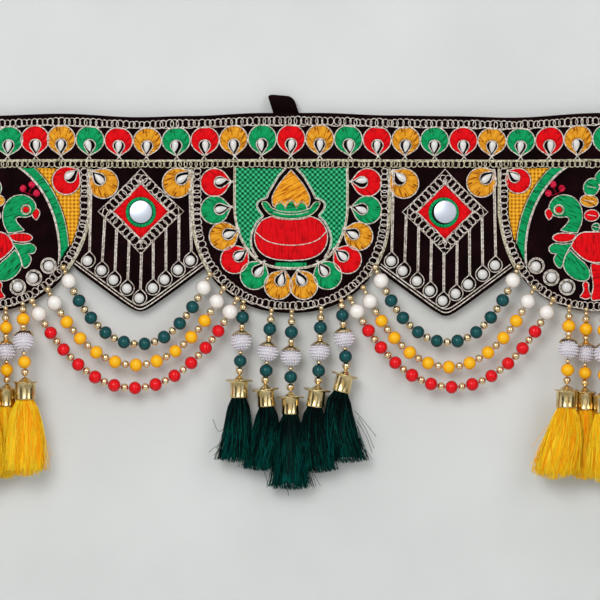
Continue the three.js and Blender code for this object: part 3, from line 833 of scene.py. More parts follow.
def shortOf(flat, line, gap):
    # the part of a line before it comes closer to another line than the gap
    near = np.linalg.norm(flat[:, None] - evenly(line, 0.5)[None], axis=2).min(1) < gap
    return flat[:np.argmax(near)] if near.any() else flat


def heldWithin(flat, outline, gap):
    # points that lie outside the outline, or too near it, are drawn in towards their middle
    middle = flat.mean(0)
    for _ in range(60):
        out = ~isInside(flat, outline) | (distanceTo(flat, outline) < gap)
        flat = np.where(out[:, None], flat + (middle - flat) * 0.03, flat)
    return flat


def peacockParts():
    # outlines of one half, x out from the middle: colour, how far raised, grain, outline
    neck = outlineOf([(18, 96), (14.6, 88.6), (13.8, 80.6), (15.8, 73.2), (20.6, 67.8), (27, 65.6),
                      (33.4, 66.4), (38.4, 70), (40.6, 75.6), (38.4, 81), (32.6, 83.4), (26.4, 83)],
                     [(26.4, 83), (24.4, 85), (26.6, 89), (31.4, 93.8)],
                     [(31.4, 93.8), (25, 95.4), (18, 96)])
    beak = outlineOf([(36.8, 80), (40.4, 76.4), (43.4, 78.6), (43, 82.4), (40.6, 86)],
                     [(40.6, 86), (38, 83.2), (36.8, 80)])
    breast = outlineOf([(18.6, 97.4), (26, 96.2), (34, 96.6), (37.8, 99.8), (34.4, 102.8), (27, 103.2),
                        (21.4, 101.4), (18.6, 97.4)])
    leaf = outlineOf([(21.4, 104), (29.6, 105), (36.2, 104.4), (40.6, 107.8), (39, 112), (34.6, 112.6)],
                     [(34.6, 112.6), (36.8, 117), (34.6, 122.2), (31, 124), (28.6, 118.6), (26.4, 111.6),
                      (21.4, 104)])
    wing = outlineOf([(23.6, 109.4), (28.6, 117), (28.2, 124.8), (22.6, 131.4), (15.4, 134.4), (9.2, 133),
                      (7.8, 127.4), (11.4, 120.8), (17.4, 115.6), (23.6, 109.4)])
    foot = outlineOf([(11.4, 134.6), (13.6, 137), (12.8, 142), (16.2, 147.2)],
                     [(16.2, 147.2), (10.8, 149), (6.4, 146.8)],
                     [(6.4, 146.8), (8.8, 141.6), (8.8, 136.6), (11.4, 134.6)])
    return (("green", 1.25, 25.0, neck), ("red", 1.5, 60.0, beak), ("red", 1.0, 90.0, breast),
            ("green", 1.1, 35.0, leaf), ("green", 1.35, 50.0, wing), ("red", 0.9, 0.0, foot))


def sewPeacocks(work, name, seed):
    form = peacocks
    middle = form[name]
    draw = np.random.default_rng(seed)
    lay = lambda flat, sign: np.asarray(flat, float) * [sign, 1] + [middle, 0]
    for sign, side in ((-1, "left"), (1, "right")):
        # the arch
        chain = borderLine(name)[side == "right"]
        arches = [shortOf(lay(archLine(offset, 14), sign), chain, gap) for offset, gap in (
            (form["outerEdge"], 3.9), (form["innerEdge"], 3.9), (form["innerEdge"] - 0.1, 3.6),
            (form["innerEdge"] - 1.0, 3.6))]
        sewPatch(work["satin"], np.vstack([arches[0], arches[1][::-1]]), 1.1, 0.9, 2, 20.0 * sign, edge=2.4)
        sewCord(work["greenCord"], arches[0], radius=0.46, lift=0.1)
        sewCord(work["cord"], arches[2], radius=0.52, lift=0.05)
        sewCord(work["cord"], arches[3], radius=0.46)
        # basket stitch between the arch and the border, open where the red petal lies
        reach = abs(sign * roundBorder[name][side] + panels[name][1] - middle) - 3.6
        arch = archLine(form["outerEdge"] + 0.7, 2)
        edge = borderLine(name, -3.5, 34)[side == "right"] - [middle, 0]
        edge = np.stack([np.abs(edge[:, 0]), edge[:, 1]], 1)
        edge = edge[edge[:, 0] > np.interp(edge[:, 1], arch[:, 1], arch[:, 0]) + 0.8]
        spandrel = np.vstack([arch[arch[:, 1] < edge[-1, 1]], edge[::-1]])
        inward, size = form["petals"][name]
        petal = np.array([reach - inward, 55.6])
        tip = petal + np.array([11.6, -10.6]) * size
        toTip = (tip - petal) / np.linalg.norm(tip - petal)
        length, width = petalForm["length"] * size, petalForm["width"] * size
        hole = dropAt(tip, toTip, length * 1.02, width * 1.04, 48, length)
        hole = heldWithin(hole, spandrel, form["petalGap"])
        sewPatch(work["basket"], lay(spandrel, sign), form["ground"], form["groundPitch"], 1, 45.0,
                 basketRelief, holes=[lay(hole, sign)])
        sewPetal(work, *lay([petal, tip], sign).ravel(), "red", draw, size, tails=0)
        # one bird
        for colour, height, grain, outline in peacockParts():
            sewShape(work, lay(outline, sign), height, colourOrder.index(colour), grain * sign, 2.4, 0.46)
        eye = form["eye"]
        sewPatch(work["satin"], lay(ellipseOf(*eye, 6.6, 6.6), sign), 1.9, 0.8, 0, 0.0, edge=2.2)
        sewCord(work["cord"], lay(ellipseOf(*eye, 7.6, 7.6), sign), closed=True, radius=0.6, lift=1.2)
        for x, drop in form["berries"]:
            sewPatch(work["satin"], lay(ellipseOf(x, drop, 5.8, 6.2), sign), 1.2, 0.8, 3, 30.0, edge=2.6)
            sewCord(work["satin"], lay([(x - 0.1, drop + 2), form["berryStem"]], sign), radius=0.3, finish=3)
        for x, drop in form["stones"]:
            for size, radius in form["stoneRings"]:
                sewCord(work["cord"], lay(ellipseOf(x, drop, size, size), sign), closed=True, radius=radius)
            stoneX = middle + sign * (x + draw.normal(0, form["sway"]))
            work["rounds"].append((stoneX, drop + draw.normal(0, form["sway"]), form["stoneSize"]))
        # tail feathers, fanned to each side
        for x, drop, across, down, turn, colour in (
                (6.6, 59.4, 12.4, 14.6, 24, "green"), (8.4, 70.4, 14.6, 9.8, 6, "yellow"),
                (6.4, 82.0, 12.0, 9.2, -4, "red"), (2.6, 91.4, 7.6, 6.4, 0, "green")):
            lobe = ellipseOf(x, drop, across, down, -turn, 30)
            lobe[:, 0] = np.maximum(lobe[:, 0], 0.35)
            sewShape(work, lay(lobe, sign), 1.1, colourOrder.index(colour), 20.0 * sign, 2.2, 0.45)
            vein = [(x - across * 0.3, drop + 0.6), (x, drop), (x + across * 0.28, drop - 0.6)]
            sewCord(work["cord"], lay(vein, sign), radius=0.32, lift=1.0)
    body = outlineOf([(0, 95.2), (7, 95.2), (13.6, 95.6), (18.4, 98.6), (22.6, 106.2), (18.4, 112.2),
                      (11.8, 117.4), (5.6, 119.6), (0, 119.8)], mirrored=True)
    stem = outlineOf([(0, 121), (6.8, 121), (6.2, 130), (5.2, 139), (6.6, 149.4), (0, 149.6)], mirrored=True)
    bud = outlineOf([(0, 45.8), (-3.4, 50), (-3.6, 55), (0, 58.6)], mirrored=True)
    sewShape(work, lay(body, 1), 1.6, 0, 90.0, 5.0, 0.6, pitch=0.95)
    sewShape(work, lay(stem, 1), 1.1, 0, 0.0, 2.6, 0.5)
    sewShape(work, lay(bud, 1), 1.0, 2, 0.0, 2.0, 0.4)
    sewRoundBorder(work, name, seed + 5)


# Hard things are modelled once, as templates, and copied to their places

def startModel():
    if bpy.context.object and bpy.context.object.mode != "OBJECT":
        bpy.ops.object.mode_set(mode="OBJECT")
    bpy.ops.object.select_all(action="DESELECT")


def edit(everything=True):
    # go into edit mode, with everything selected or nothing
    bpy.ops.object.mode_set(mode="EDIT")
    bpy.ops.mesh.select_all(action="SELECT" if everything else "DESELECT")


def done():
    bpy.ops.object.mode_set(mode="OBJECT")


def pickPoints(model, test):
    # in edit mode, select the points that pass the test
    shape = bmesh.from_edit_mesh(model.data)
    for point in shape.verts:
        point.select = bool(test(point.co))
    shape.select_flush(True)
    bmesh.update_edit_mesh(model.data)


def takeTemplate(model, finish=0):
    mesh = model.data
    points = np.empty(len(mesh.vertices) * 3)
    mesh.vertices.foreach_get("co", points)
    bySize = {}
    for face in mesh.polygons:
        bySize.setdefault(len(face.vertices), []).append(tuple(face.vertices))
    bpy.data.objects.remove(model)
    faces = [np.array(some) for some in bySize.values()]
    return {"points": points.reshape(-1, 3), "faces": faces, "finish": finish}


def stamp(goods, template, place, along=(0, 0, -1), spin=0.0, scale=1.0, finish=None):
    # the template's own Z goes along the given direction
    along = np.asarray(along, float)
    along = along / np.linalg.norm(along)
    side = np.cross(along, toViewer if abs(along[1]) < 0.9 else [0, 0, 1.0])
    side /= np.linalg.norm(side)
    out = np.cross(along, side)
    c, s = cos(spin), sin(spin)
    basis = np.stack([c * side + s * out, -s * side + c * out, along])
    points = (template["points"] * scale) @ basis + place
    addFaces(goods, points, template["faces"], None, template["finish"] if finish is None else finish)


def primitive(kind, **sizes):
    startModel()
    getattr(bpy.ops.mesh, f"primitive_{kind}_add")(**sizes)
    return bpy.context.object


def spunModel(profile, steps):
    # a profile of radius and height, spun round the Z axis
    startModel()
    mesh = bpy.data.meshes.new("profile")
    edges = [(i, i + 1) for i in range(len(profile) - 1)]
    mesh.from_pydata([(r, 0, z) for r, z in profile], edges, [])
    model = addObject("profile", mesh)
    bpy.context.view_layer.objects.active = model
    model.select_set(True)
    edit()
    bpy.ops.mesh.spin(steps=steps, angle=2 * pi, center=(0, 0, 0), axis=(0, 0, 1))
    bpy.ops.mesh.select_all(action="SELECT")
    bpy.ops.mesh.remove_doubles(threshold=1e-4)
    bpy.ops.mesh.normals_make_consistent(inside=False)
    done()
    return model


def beadModel(across, along, segments, rings, hole=0.72):
    model = primitive("uv_sphere", segments=segments, ring_count=rings, radius=across / 2)
    edit(False)
    pickPoints(model, lambda co: abs(co.z) > across / 2 * 0.995)
    bpy.ops.transform.resize(value=(1, 1, hole))
    bpy.ops.mesh.select_all(action="SELECT")
    bpy.ops.transform.resize(value=(1, 1, along / across))
    done()
    return model


beadKinds = {
    # across, along, finish (0 the string's own colour, 1 gold, 2 pearl, 3 ridged pearl), segments, rings
    "seed": (4.2, 3.6, 1, 10, 6), "gold": (6.6, 6.2, 1, 14, 9), "spacer": (5.6, 4.8, 1, 12, 8),
    "colour": (10.6, 10.2, 0, 22, 14), "pearl": (12.4, 12.4, 2, 24, 16), "flare": (15.0, 2.6, 1, 40, 1),
    "ribbed": (17.2, 15.0, 3, 28, 16),
}
ridged = {"rows": 8, "grain": 0.96, "pitch": 2.1, "core": 0.86}
flareForm = {"lobes": 10, "wave": 0.7, "spread": 0.12, "from": 0.45}


def ridgedTemplate():
    # a ball of tiny pearls in rows round a core
    across, along, finish, *detail = beadKinds["ribbed"]
    goods = newGoods()
    core = takeTemplate(beadModel(across * ridged["core"], along * ridged["core"], *detail), finish)
    stamp(goods, core, (0, 0, 0), (0, 0, 1))
    grain = takeTemplate(beadModel(ridged["grain"] * 2, ridged["grain"] * 2, 7, 5, 1.0), finish)
    radius, height = across / 2 - ridged["grain"] * 0.8, along / 2 - ridged["grain"] * 0.8
    for row in range(ridged["rows"]):
        lean = radians(-74 + 148 * row / (ridged["rows"] - 1))
        around = radius * cos(lean)
        count = max(6, round(2 * pi * around / ridged["pitch"]))
        for i in range(count):
            turn = 2 * pi * (i + 0.5 * (row % 2)) / count
            place = (around * cos(turn), around * sin(turn), height * sin(lean))
            stamp(goods, grain, place, (0, 0, 1))
    return {"points": np.concatenate(goods["points"]), "finish": finish,
            "faces": [np.concatenate([f for f in goods["faces"] if f.shape[1] == n]) for n in (3, 4)]}


def widen(point, share):
    point.co.x *= 1 + share
    point.co.y *= 1 + share


def flareTemplate():
    # a thin filigree cap that spreads over the ball below it, its rim in lobes
    across, along, finish, steps, _ = beadKinds["flare"]
    r, h = across / 2, along
    profile = [(0, -h * 0.5), (r * 0.28, -h * 0.5), (r * 0.4, -h * 0.15), (r * 0.68, h * 0.45), (r, h * 1.25),
               (r * 1.02, h * 1.4), (r * 0.68, h * 0.62), (r * 0.38, h * 0.06), (0, -h * 0.1)]
    model = spunModel(profile, steps)
    for point in model.data.vertices:
        reach = hypot(point.co.x, point.co.y) / r
        turn = atan2(point.co.y, point.co.x)
        lobe = cos(flareForm["lobes"] * turn) * max(0, reach - flareForm["from"])
        widen(point, flareForm["spread"] * lobe)
        point.co.z += flareForm["wave"] * lobe
    return takeTemplate(model, finish)


def makeTemplates():
    made = {"ribbed": ridgedTemplate(), "flare": flareTemplate()}
    for name, (across, along, finish, *detail) in beadKinds.items():
        if name not in made:
            made[name] = takeTemplate(beadModel(across, along, *detail), finish)
    return made


def threadBeads(goods, templates, path, sequence, seed):
    # path: the thread, in space; the beads fill it from end to end
    draw = np.random.default_rng(seed)
    at = lengthsAlong(path)
    natural = sum(beadKinds[kind][1] for kind in sequence)
    scale = at[-1] / natural
    ahead = np.gradient(path, axis=0)
    ahead /= np.linalg.norm(ahead, axis=1, keepdims=True)
    s = 0.0
    for kind in sequence:
        along = beadKinds[kind][1] * scale
        middle = np.array([np.interp(s + along / 2, at, path[:, k]) for k in range(3)])
        heading = np.array([np.interp(s + along / 2, at, ahead[:, k]) for k in range(3)])
        size = 1 + draw.normal(0, 0.012)
        wobble = draw.normal(0, 0.05, 3)
        stamp(goods, templates[kind], middle, heading + wobble, draw.uniform(0, 6.28), size)
        s += along
    addTubes(goods, evenly(path, 2.5)[None], 0.45, 5, finish=4)


# Swags: strings of beads that hang in catenaries of their own length

swagForm = {"forward": 3.8, "rise": 16.0, "steps": 160, "gap": 0.35}
swagKinds = {"green": (8, 1.008), "yellow": (9, 1.028), "red": (11, 1.015)}
swags = (
    ("left", "green", -182.8, 121.3, -64, 126.8), ("left", "yellow", -195.4, 139, -52.8, 137.8),
    ("left", "red", -208, 148, -42, 146.4), ("right", "green", 66.4, 121.2, 182.4, 120.8),
    ("right", "yellow", 56.8, 137.6, 195.2, 137.6), ("right", "red", 46.2, 146, 210.6, 146.8),
)


def swagPath(x0, drop0, x1, drop1, length):
    span, fall = x1 - x0, drop0 - drop1
    target = sqrt(length ** 2 - fall ** 2)
    low, high = span / 20, span * 20
    for _ in range(60):
        a = (low + high) / 2
        low, high = (a, high) if 2 * a * sinh(span / (2 * a)) > target else (low, a)
    lowest = x0 + span / 2 - a * atanh(fall / length)
    s = np.linspace(0, length, swagForm["steps"] + 1)
    x = lowest + a * np.arcsinh(s / a + sinh((x0 - lowest) / a))
    drop = drop0 + a * cosh((x0 - lowest) / a) - a * np.cosh((x - lowest) / a)
    edge = float(clothFront(x0, drop0)) - beadKinds["spacer"][0] / 2 - swagForm["gap"]
    y = edge - swagForm["forward"] * smooth01(np.minimum(s, length - s) / swagForm["rise"])
    return np.stack([x, y, -drop], 1)


def hangSwags(templates, finishes):
    for n, (side, colour, x0, drop0, x1, drop1) in enumerate(swags):
        count, slack = swagKinds[colour]
        ends = ["spacer", "seed", "pearl", "gold"]
        sequence = ends + ["colour", "gold"] * (count - 1) + ["colour"] + ends[::-1]
        length = slack * sum(beadKinds[kind][1] for kind in sequence)
        goods = newGoods()
        path = swagPath(x0, drop0, x1, drop1, length)
        draw = np.random.default_rng(70 + n)
        # hand-strung beads never hang quite in line
        sway = np.interp(np.linspace(0, 1, len(path)), np.linspace(0, 1, 9), draw.normal(0, 0.35, 9))
        path[:, 2] += sway * np.sin(np.linspace(0, np.pi, len(path)))
        threadBeads(goods, templates, path, sequence, 80 + n)
        piece = makePiece(f"beads_swag_{side}_{colour}", goods, finishes[colour])
        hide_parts(f"swag_{side}_{colour}")


# Bead strings with their brass caps and silk tassels, from the round panels' lower edges

stringForm = {"rootRise": 3.0, "leaving": 0.42, "leavingOut": 0.3, "capDome": 4.5, "gap": 0.35}
capForm = {
    "green": {"radius": 7.2, "flange": 10.6}, "yellow": {"radius": 8.4, "flange": 9.2},
    "length": 13.6, "wall": 0.9, "dome": 4.5, "recess": 4.0, "steps": 48, "lobes": 14,
}
# where it leaves the cloth, seed beads, cap, drop, lean, out, tassel from, to, and foot
strings = {
    "middle": (
        (-38, 1, -41.2, 214, 1, 8.6, -57.2, -31, 279.6), (-15.4, 2, -20.4, 221.2, -4, 9, -38, -11, 286.4),
        (0.6, 2, -0.4, 227.2, 0, 8.6, -15.4, 14, 301.6), (24.2, 2, 21, 221.6, 8, 9.4, 8, 35, 288),
        (40, 1, 43.2, 209.8, 14, 8.6, 28, 60, 280),
    ),
    "far_left": (
        (-27.2, 1, -30, 217.2, 2, 18.6, -52, -20, 291), (-13.6, 2, -15, 220.8, 0, 8.6, -27, -7, 292.6),
        (0, 2, 0, 224, 0, 18.6, -12, 12, 294.4), (13.6, 2, 15, 220.8, 0, 8.6, 2.8, 25, 292.6),
        (27.2, 1, 30, 215.2, 0, 18.6, 13.4, 44.6, 290.6),
    ),
    "far_right": (
        (-27.2, 2, -30, 221.6, 1, 18.6, -56, -25, 293), (-13.6, 2, -15, 223.6, -1, 8.6, -27, -5, 293.6),
        (0, 2, 0, 226, 0, 18.6, -12, 12, 295.2), (13.6, 2, 15, 223.6, 1, 8.6, 4, 27, 293.6),
        (27.2, 2, 30, 220.8, -1, 18.6, 16, 50, 291.2),
    ),
}
tasselForm = {
    "threads": 330, "points": 10, "radius": 0.25, "headBelowRim": 0.8, "rootInside": 5.0, "depth": 5.6,
    "uneven": 3.4, "wave": 0.9, "stray": 0.05,
    # the bundle, and how far out in it the threads lie, how they cross and how they drift
    "core": 0.9, "coreFoot": 0.9, "coreSides": 32, "coreRings": 14, "inner": 0.7, "crossing": 0.55,
    "drift": 0.2,
    # how far the width has grown towards the foot's, by share of the length
    "green": ((0, 0), (0.1, 0.34), (0.3, 0.6), (0.6, 0.76), (0.85, 0.88), (1, 1.02)),
    "yellow": ((0, 0), (0.08, 0.34), (0.2, 0.64), (0.4, 0.96), (0.6, 1.06), (0.8, 1.02), (1, 0.84)),
    "rounded": {"green": 2.6, "yellow": 6.0},
}
# single threads that stand out from a tassel, from the panel's middle line
strays = {
    "middle_1": (((-50, 249), (-57.6, 254.6), (-62.4, 244.8)), ((-49, 258), (-57, 264), (-65.6, 271.2)),
                 ((-50, 263), (-56, 268), (-61.6, 273.6)), ((-49, 254), (-54, 262), (-60, 268))),
    "middle_2": (((-24, 280), (-20, 290), (-18.4, 296.6)),),
    "middle_3": (((-6, 292), (-3, 300), (-1.8, 305.6)),),
    "middle_5": (((51, 238), (59, 247), (68, 258.4)), ((53, 246), (60, 258), (64.8, 271.2)),
                 ((53, 250), (58, 264), (61.6, 275.2)), ((54, 243), (61, 255), (66.4, 268))),
    "far_left_5": (((42, 252), (48, 264), (52, 274)), ((40, 262), (46, 274), (47, 284))),
    "far_right_1": (((-45, 249), (-51, 257), (-57.6, 266.4)), ((-49, 266), (-54, 274), (-60, 281.6)),
                    ((-46, 258), (-53, 268), (-56, 276))),
    "far_right_5": (((42, 250), (50, 262), (56, 270)),),
}


def centripetalPath(points, steps=60):
    # the route of a thread through four places
    points = [np.array(p, float) for p in points]
    points = [2 * points[0] - points[1], *points, 2 * points[-1] - points[-2]]
    path = []
    for i in range(1, len(points) - 2):
        p0, p1, p2, p3 = points[i - 1:i + 3]
        d0, d1, d2 = (sqrt(np.linalg.norm(b - a)) for a, b in ((p0, p1), (p1, p2), (p2, p3)))
        t1 = ((p1 - p0) / d0 - (p2 - p0) / (d0 + d1) + (p2 - p1) / d1) * d1
        t2 = ((p2 - p1) / d1 - (p3 - p1) / (d1 + d2) + (p3 - p2) / d2) * d1
        t = np.linspace(0, 1, steps, endpoint=False)[:, None]
        path.append(p1 + t1 * t + (-3 * p1 + 3 * p2 - 2 * t1 - t2) * t ** 2
                    + (2 * p1 - 2 * p2 + t1 + t2) * t ** 3)
    return np.vstack([*path, points[-2]])


def stringPath(panel, row):
    top, _, cap, drop, lean, out = row[:6]
    x = panels[panel][1] + top
    edge = float(footOfPanel(panel, x))
    startY = float(clothFront(x, edge)) - beadKinds["seed"][0] / 2 - stringForm["gap"]
    start = np.array([x, startY, stringForm["rootRise"] - edge])
    turn = radians(lean)
    reach = stringForm["capDome"] + stringForm["gap"]
    capTop = np.array([panels[panel][1] + cap + reach * sin(turn), -out, -drop + reach * cos(turn)])
    settledAt = (start + capTop) / 2
    settledAt[1] = capTop[1]
    leaving = start + (settledAt - start) * stringForm["leaving"]
    leaving[1] = startY + (capTop[1] - startY) * stringForm["leavingOut"]
    return centripetalPath([start, leaving, settledAt, capTop])


def capTemplate(colour):
    # dome, lobed flange, and a cup with a turned rim and a recess for the tassel's head
    form, size = capForm, capForm[colour]
    r, f, inside = size["radius"], size["flange"], size["radius"] - form["wall"]
    top, foot = form["dome"], -form["length"]
    profile = [
        (0, top), (0.9, top), (1.5, top - 0.5), (r * 0.36, top - 1.5), (r * 0.52, top - 2.5), (r * 0.6, 1.3),
        (r * 0.66, 0.75), (f * 0.8, 0.55), (f, 0.35), (f + 0.15, 0), (f, -0.35), (r + 0.4, -0.5), (r, -0.9),
        (r - 0.15, -1.6), (r - 0.25, -7), (r - 0.1, foot + 1.2), (r + 0.05, foot + 0.5), (r - 0.1, foot),
        (inside, foot), (inside, -7), (inside, -form["recess"]), (0, -form["recess"]),
    ]
    model = spunModel(profile, form["steps"])
    for point in model.data.vertices:
        reach = hypot(point.co.x, point.co.y)
        turn = atan2(point.co.y, point.co.x)
        if reach > r + 0.6 and abs(point.co.z) < 0.7:
            widen(point, 0.03 * cos(form["lobes"] * turn) * (reach - r) / (f - r))
            point.co.z += 0.22 * cos(form["lobes"] * turn + 1) + 0.5 * sin(2 * turn)
        elif 1.0 < point.co.z < top - 0.7:
            widen(point, 0.05 * cos(8 * turn))
    return takeTemplate(model)


def tasselGoods(panel, row, seed, colour, loose):
    # a dense bundle inside, threads all round it that cross and end unevenly, and a few astray
    cap, drop, lean, out, left, right, foot = row[2:]
    form, draw = tasselForm, np.random.default_rng(seed)
    turn = radians(lean)
    axis = np.array([-sin(turn), 0, -cos(turn)])
    sideways = np.array([cos(turn), 0, -sin(turn)])
    middle = panels[panel][1]
    place = np.array([middle + cap, -out, -drop])
    head = capForm[colour]["radius"] - capForm["wall"] - 0.3
    rim = place + axis * (capForm["length"] + form["headBelowRim"])
    root = place + axis * (capForm["length"] - form["rootInside"])
    footAt = np.array([middle + (left + right) / 2, -out, -foot])
    half = (right - left) / 2
    shares, grown = np.array(form[colour]).T

    def laid(share, across, deep):
        # share of the length below the rim, and the place in the bundle's oval section
        t = np.clip(share, 0, None)
        width = head + (half - head) * np.interp(t, shares, grown)
        depth = head + (form["depth"] - head) * smooth01(t)
        bend = smooth01(t)[..., None]
        # it leaves the cap along the cap's own axis, and bends to where it hangs
        swing = (axis * np.linalg.norm(footAt - rim) - (footAt - rim)) * (t * (1 - t) ** 2)[..., None]
        centre = rim + (footAt - rim) * t[..., None] + swing
        side = sideways * (1 - bend) + np.array([1.0, 0, 0]) * bend
        spot = centre + side * (width * across)[..., None] + toViewer * (depth * deep)[..., None]
        return spot + (root - rim) * np.clip(-share, 0, 1)[..., None]

    goods = newGoods()
    # the bundle
    sides, rings = form["coreSides"], form["coreRings"]
    around = 2 * np.pi * np.arange(sides) / sides
    share = np.linspace(-1, form["coreFoot"], rings)
    ridges = 1 + 0.05 * draw.standard_normal((1, sides)).clip(-1.5, 1.5)
    ridges = form["core"] * np.tile(ridges, (rings, 1))
    ridges[0] *= 0.9
    shareAll = np.broadcast_to(share[:, None], ridges.shape)
    spots = laid(shareAll, ridges * np.cos(around), ridges * np.sin(around))
    spots[-1, :, 2] += draw.uniform(-1.5, 2.5, sides)
    points = np.vstack([spots.reshape(-1, 3), spots[0].mean(0), spots[-1].mean(0)])
    i, k = np.indices((rings - 1, sides))
    at = lambda i, k: i * sides + k % sides
    quads = cellCorners(lambda k, i: at(i, k), k, i).reshape(-1, 4)
    k = np.arange(sides)
    first, last = np.full(sides, rings * sides), np.full(sides, rings * sides + 1)
    ends = np.concatenate([np.stack([first, at(0, k + 1), at(0, k)], -1),
                           np.stack([last, at(rings - 1, k), at(rings - 1, k + 1)], -1)])
    tone = np.tile(draw.random(sides)[None], (rings, 1))
    values = np.stack([np.clip(shareAll, 0, 1), tone * 0.5 + 0.1], -1).reshape(-1, 2)
    values = np.vstack([values, [(0, 0.2), (1, 0.2)]])
    addFaces(goods, points, [quads, ends], [values[quads], values[ends]], 0)

    # the threads round it
    n, m = form["threads"], form["points"]
    t = np.concatenate([[-1.0], np.linspace(0, 1, m - 1)])[None]
    angle = draw.uniform(0, 2 * np.pi, (n, 1)) + draw.normal(0, form["crossing"], (n, 1)) * np.clip(t, 0, 1)
    reach = np.sqrt(draw.uniform(form["inner"], 1.0, (n, 1)))
    # most ends are cut nearly even, three in ten are not
    trim = np.abs(draw.standard_normal((n, 1))).clip(0, 3) * form["uneven"]
    trim = trim * (0.35 + 0.65 * (draw.random((n, 1)) < 0.3))
    rounded = form["rounded"][colour] * np.abs(np.cos(angle[:, -1:])) ** 2
    length = 1 - (trim + rounded) / abs(footAt[2] - rim[2])
    share = np.where(t > 0, t * length, t)
    astray = (draw.random((n, 1)) < form["stray"]) * draw.uniform(0.04, 0.16, (n, 1)) * np.clip(t, 0, 1) ** 3
    drift = draw.normal(0, form["drift"], (n, 1)) * np.clip(t, 0, 1) ** 2
    path = laid(share, (reach + astray) * np.cos(angle) + drift, reach * np.sin(angle))
    phase, pace = draw.uniform(0, 6.28, (n, 1)), draw.uniform(0.6, 1.8, (n, 1))
    ease = form["wave"] * np.clip(t, 0, 1) ** 1.2
    path[:, :, 0] += ease * np.sin(phase + 6.28 * pace * t)
    path[:, :, 1] += ease * 0.6 * np.cos(phase * 1.7 + 6.28 * pace * t)
    path[:, -1, 2] = np.maximum(path[:, -1, 2], -foot)
    radius = form["radius"] * draw.uniform(0.8, 1.2, (n, 1)) * np.linspace(1, 0.85, m)
    addTubes(goods, path, radius, 3, 0, tones=draw.random(n))
    for flat in loose:
        line = evenly(throughPoints(flat), 2.0)
        astray = np.stack([line[:, 0] + middle, np.full(len(line), -out - 2.5), -line[:, 1]], 1)
        addTubes(goods, astray[None], form["radius"], 3, 0, tones=np.array([0.3]))
    return goods, place, axis, draw


def hangStrings(templates, finishes):
    caps = {colour: capTemplate(colour) for colour in ("green", "yellow")}
    for p, (panel, rows) in enumerate(strings.items()):
        colour = "green" if panel == "middle" else "yellow"
        for n, row in enumerate(rows):
            label, seed = f"{panel}_{n + 1}", 200 + 10 * p + n
            goods = newGoods()
            sequence = ["seed"] * row[1]
            sequence += ["gold", "colour", "spacer", "flare", "ribbed", "seed", "colour", "gold"]
            threadBeads(goods, templates, stringPath(panel, row), sequence, seed)
            piece = makePiece(f"beads_string_{label}", goods, finishes[colour])
            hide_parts(f"bead_string_{label}")
            tassel, place, axis, draw = tasselGoods(panel, row, seed + 100, colour, strays.get(label, ()))
            piece = makePiece(f"silk_tassel_{label}", tassel, [finishes[colour + "Silk"]])
            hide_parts(f"tassel_{label}")
            goods = newGoods()
            stamp(goods, caps[colour], place, -axis, draw.uniform(0, 6.28))
            piece = makePiece(f"turned_cap_{label}", goods, [finishes["brass"]])
            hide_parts(f"brass_cap_{label}")


# Sewn stones, mirrors, cloth and loops

stoneForm = {"roundHeight": 0.62, "roundUnder": 0.3, "roundRise": 0.22, "foot": 0.35,
             # a drop: how it narrows, how far it rises, how flat it is below
             "narrowing": 0.42, "narrowest": 0.84, "rise": 0.28, "under": 0.4}


def dropStoneTemplate():
    # a glass drop, round at one end and pointed at the other, lying along X
    form = petalForm
    model = primitive("uv_sphere", segments=20, ring_count=14, radius=1, rotation=(0, pi / 2, 0))
    bpy.ops.object.transform_apply(rotation=True)
    for point in model.data.vertices:
        co = point.co
        narrow = ((1 - co.x) / 2) ** stoneForm["narrowing"] / stoneForm["narrowest"]
        co.y *= narrow * form["stoneWidth"] / 2
        co.z *= narrow * form["stoneHeight"] / 2
        co.z = co.z * (1 if co.z > 0 else stoneForm["under"]) + form["stoneHeight"] * stoneForm["rise"]
        co.x *= form["stoneLength"] / 2
    return takeTemplate(model)


def roundStoneTemplate():
    model = primitive("uv_sphere", segments=24, ring_count=14, radius=1)
    for point in model.data.vertices:
        flatter = stoneForm["roundHeight"] if point.co.z > 0 else stoneForm["roundUnder"]
        point.co.z = point.co.z * flatter + stoneForm["roundRise"]
    return takeTemplate(model)


def sewStones(work, name, material):
    goods = newGoods()
    drop, bead = dropStoneTemplate(), roundStoneTemplate()
    for x, fall, heading, size in work["drops"]:
        place = onCloth([(x, fall)], stoneForm["foot"])[0]
        c, s = cos(radians(heading)), sin(radians(heading))
        basis = np.array([(c, 0, -s), (-s, 0, -c), (0, -1, 0)])
        addFaces(goods, drop["points"] * size @ basis + place, [f[:, ::-1] for f in drop["faces"]])
    for x, fall, radius in work["rounds"]:
        place = onCloth([(x, fall)], stoneForm["foot"])[0]
        basis = np.array([(1, 0, 0), (0, 0, 1), (0, -1, 0)], float)
        addFaces(goods, bead["points"] * radius @ basis + place, bead["faces"])
    return makePiece(name, goods, [material])


mirrors = {"mirror_left": (-120.0, 79.2), "mirror_right": (123.2, 79.2)}
mirrorForm = {"radius": 9.0, "bevel": 0.5, "sides": 72}


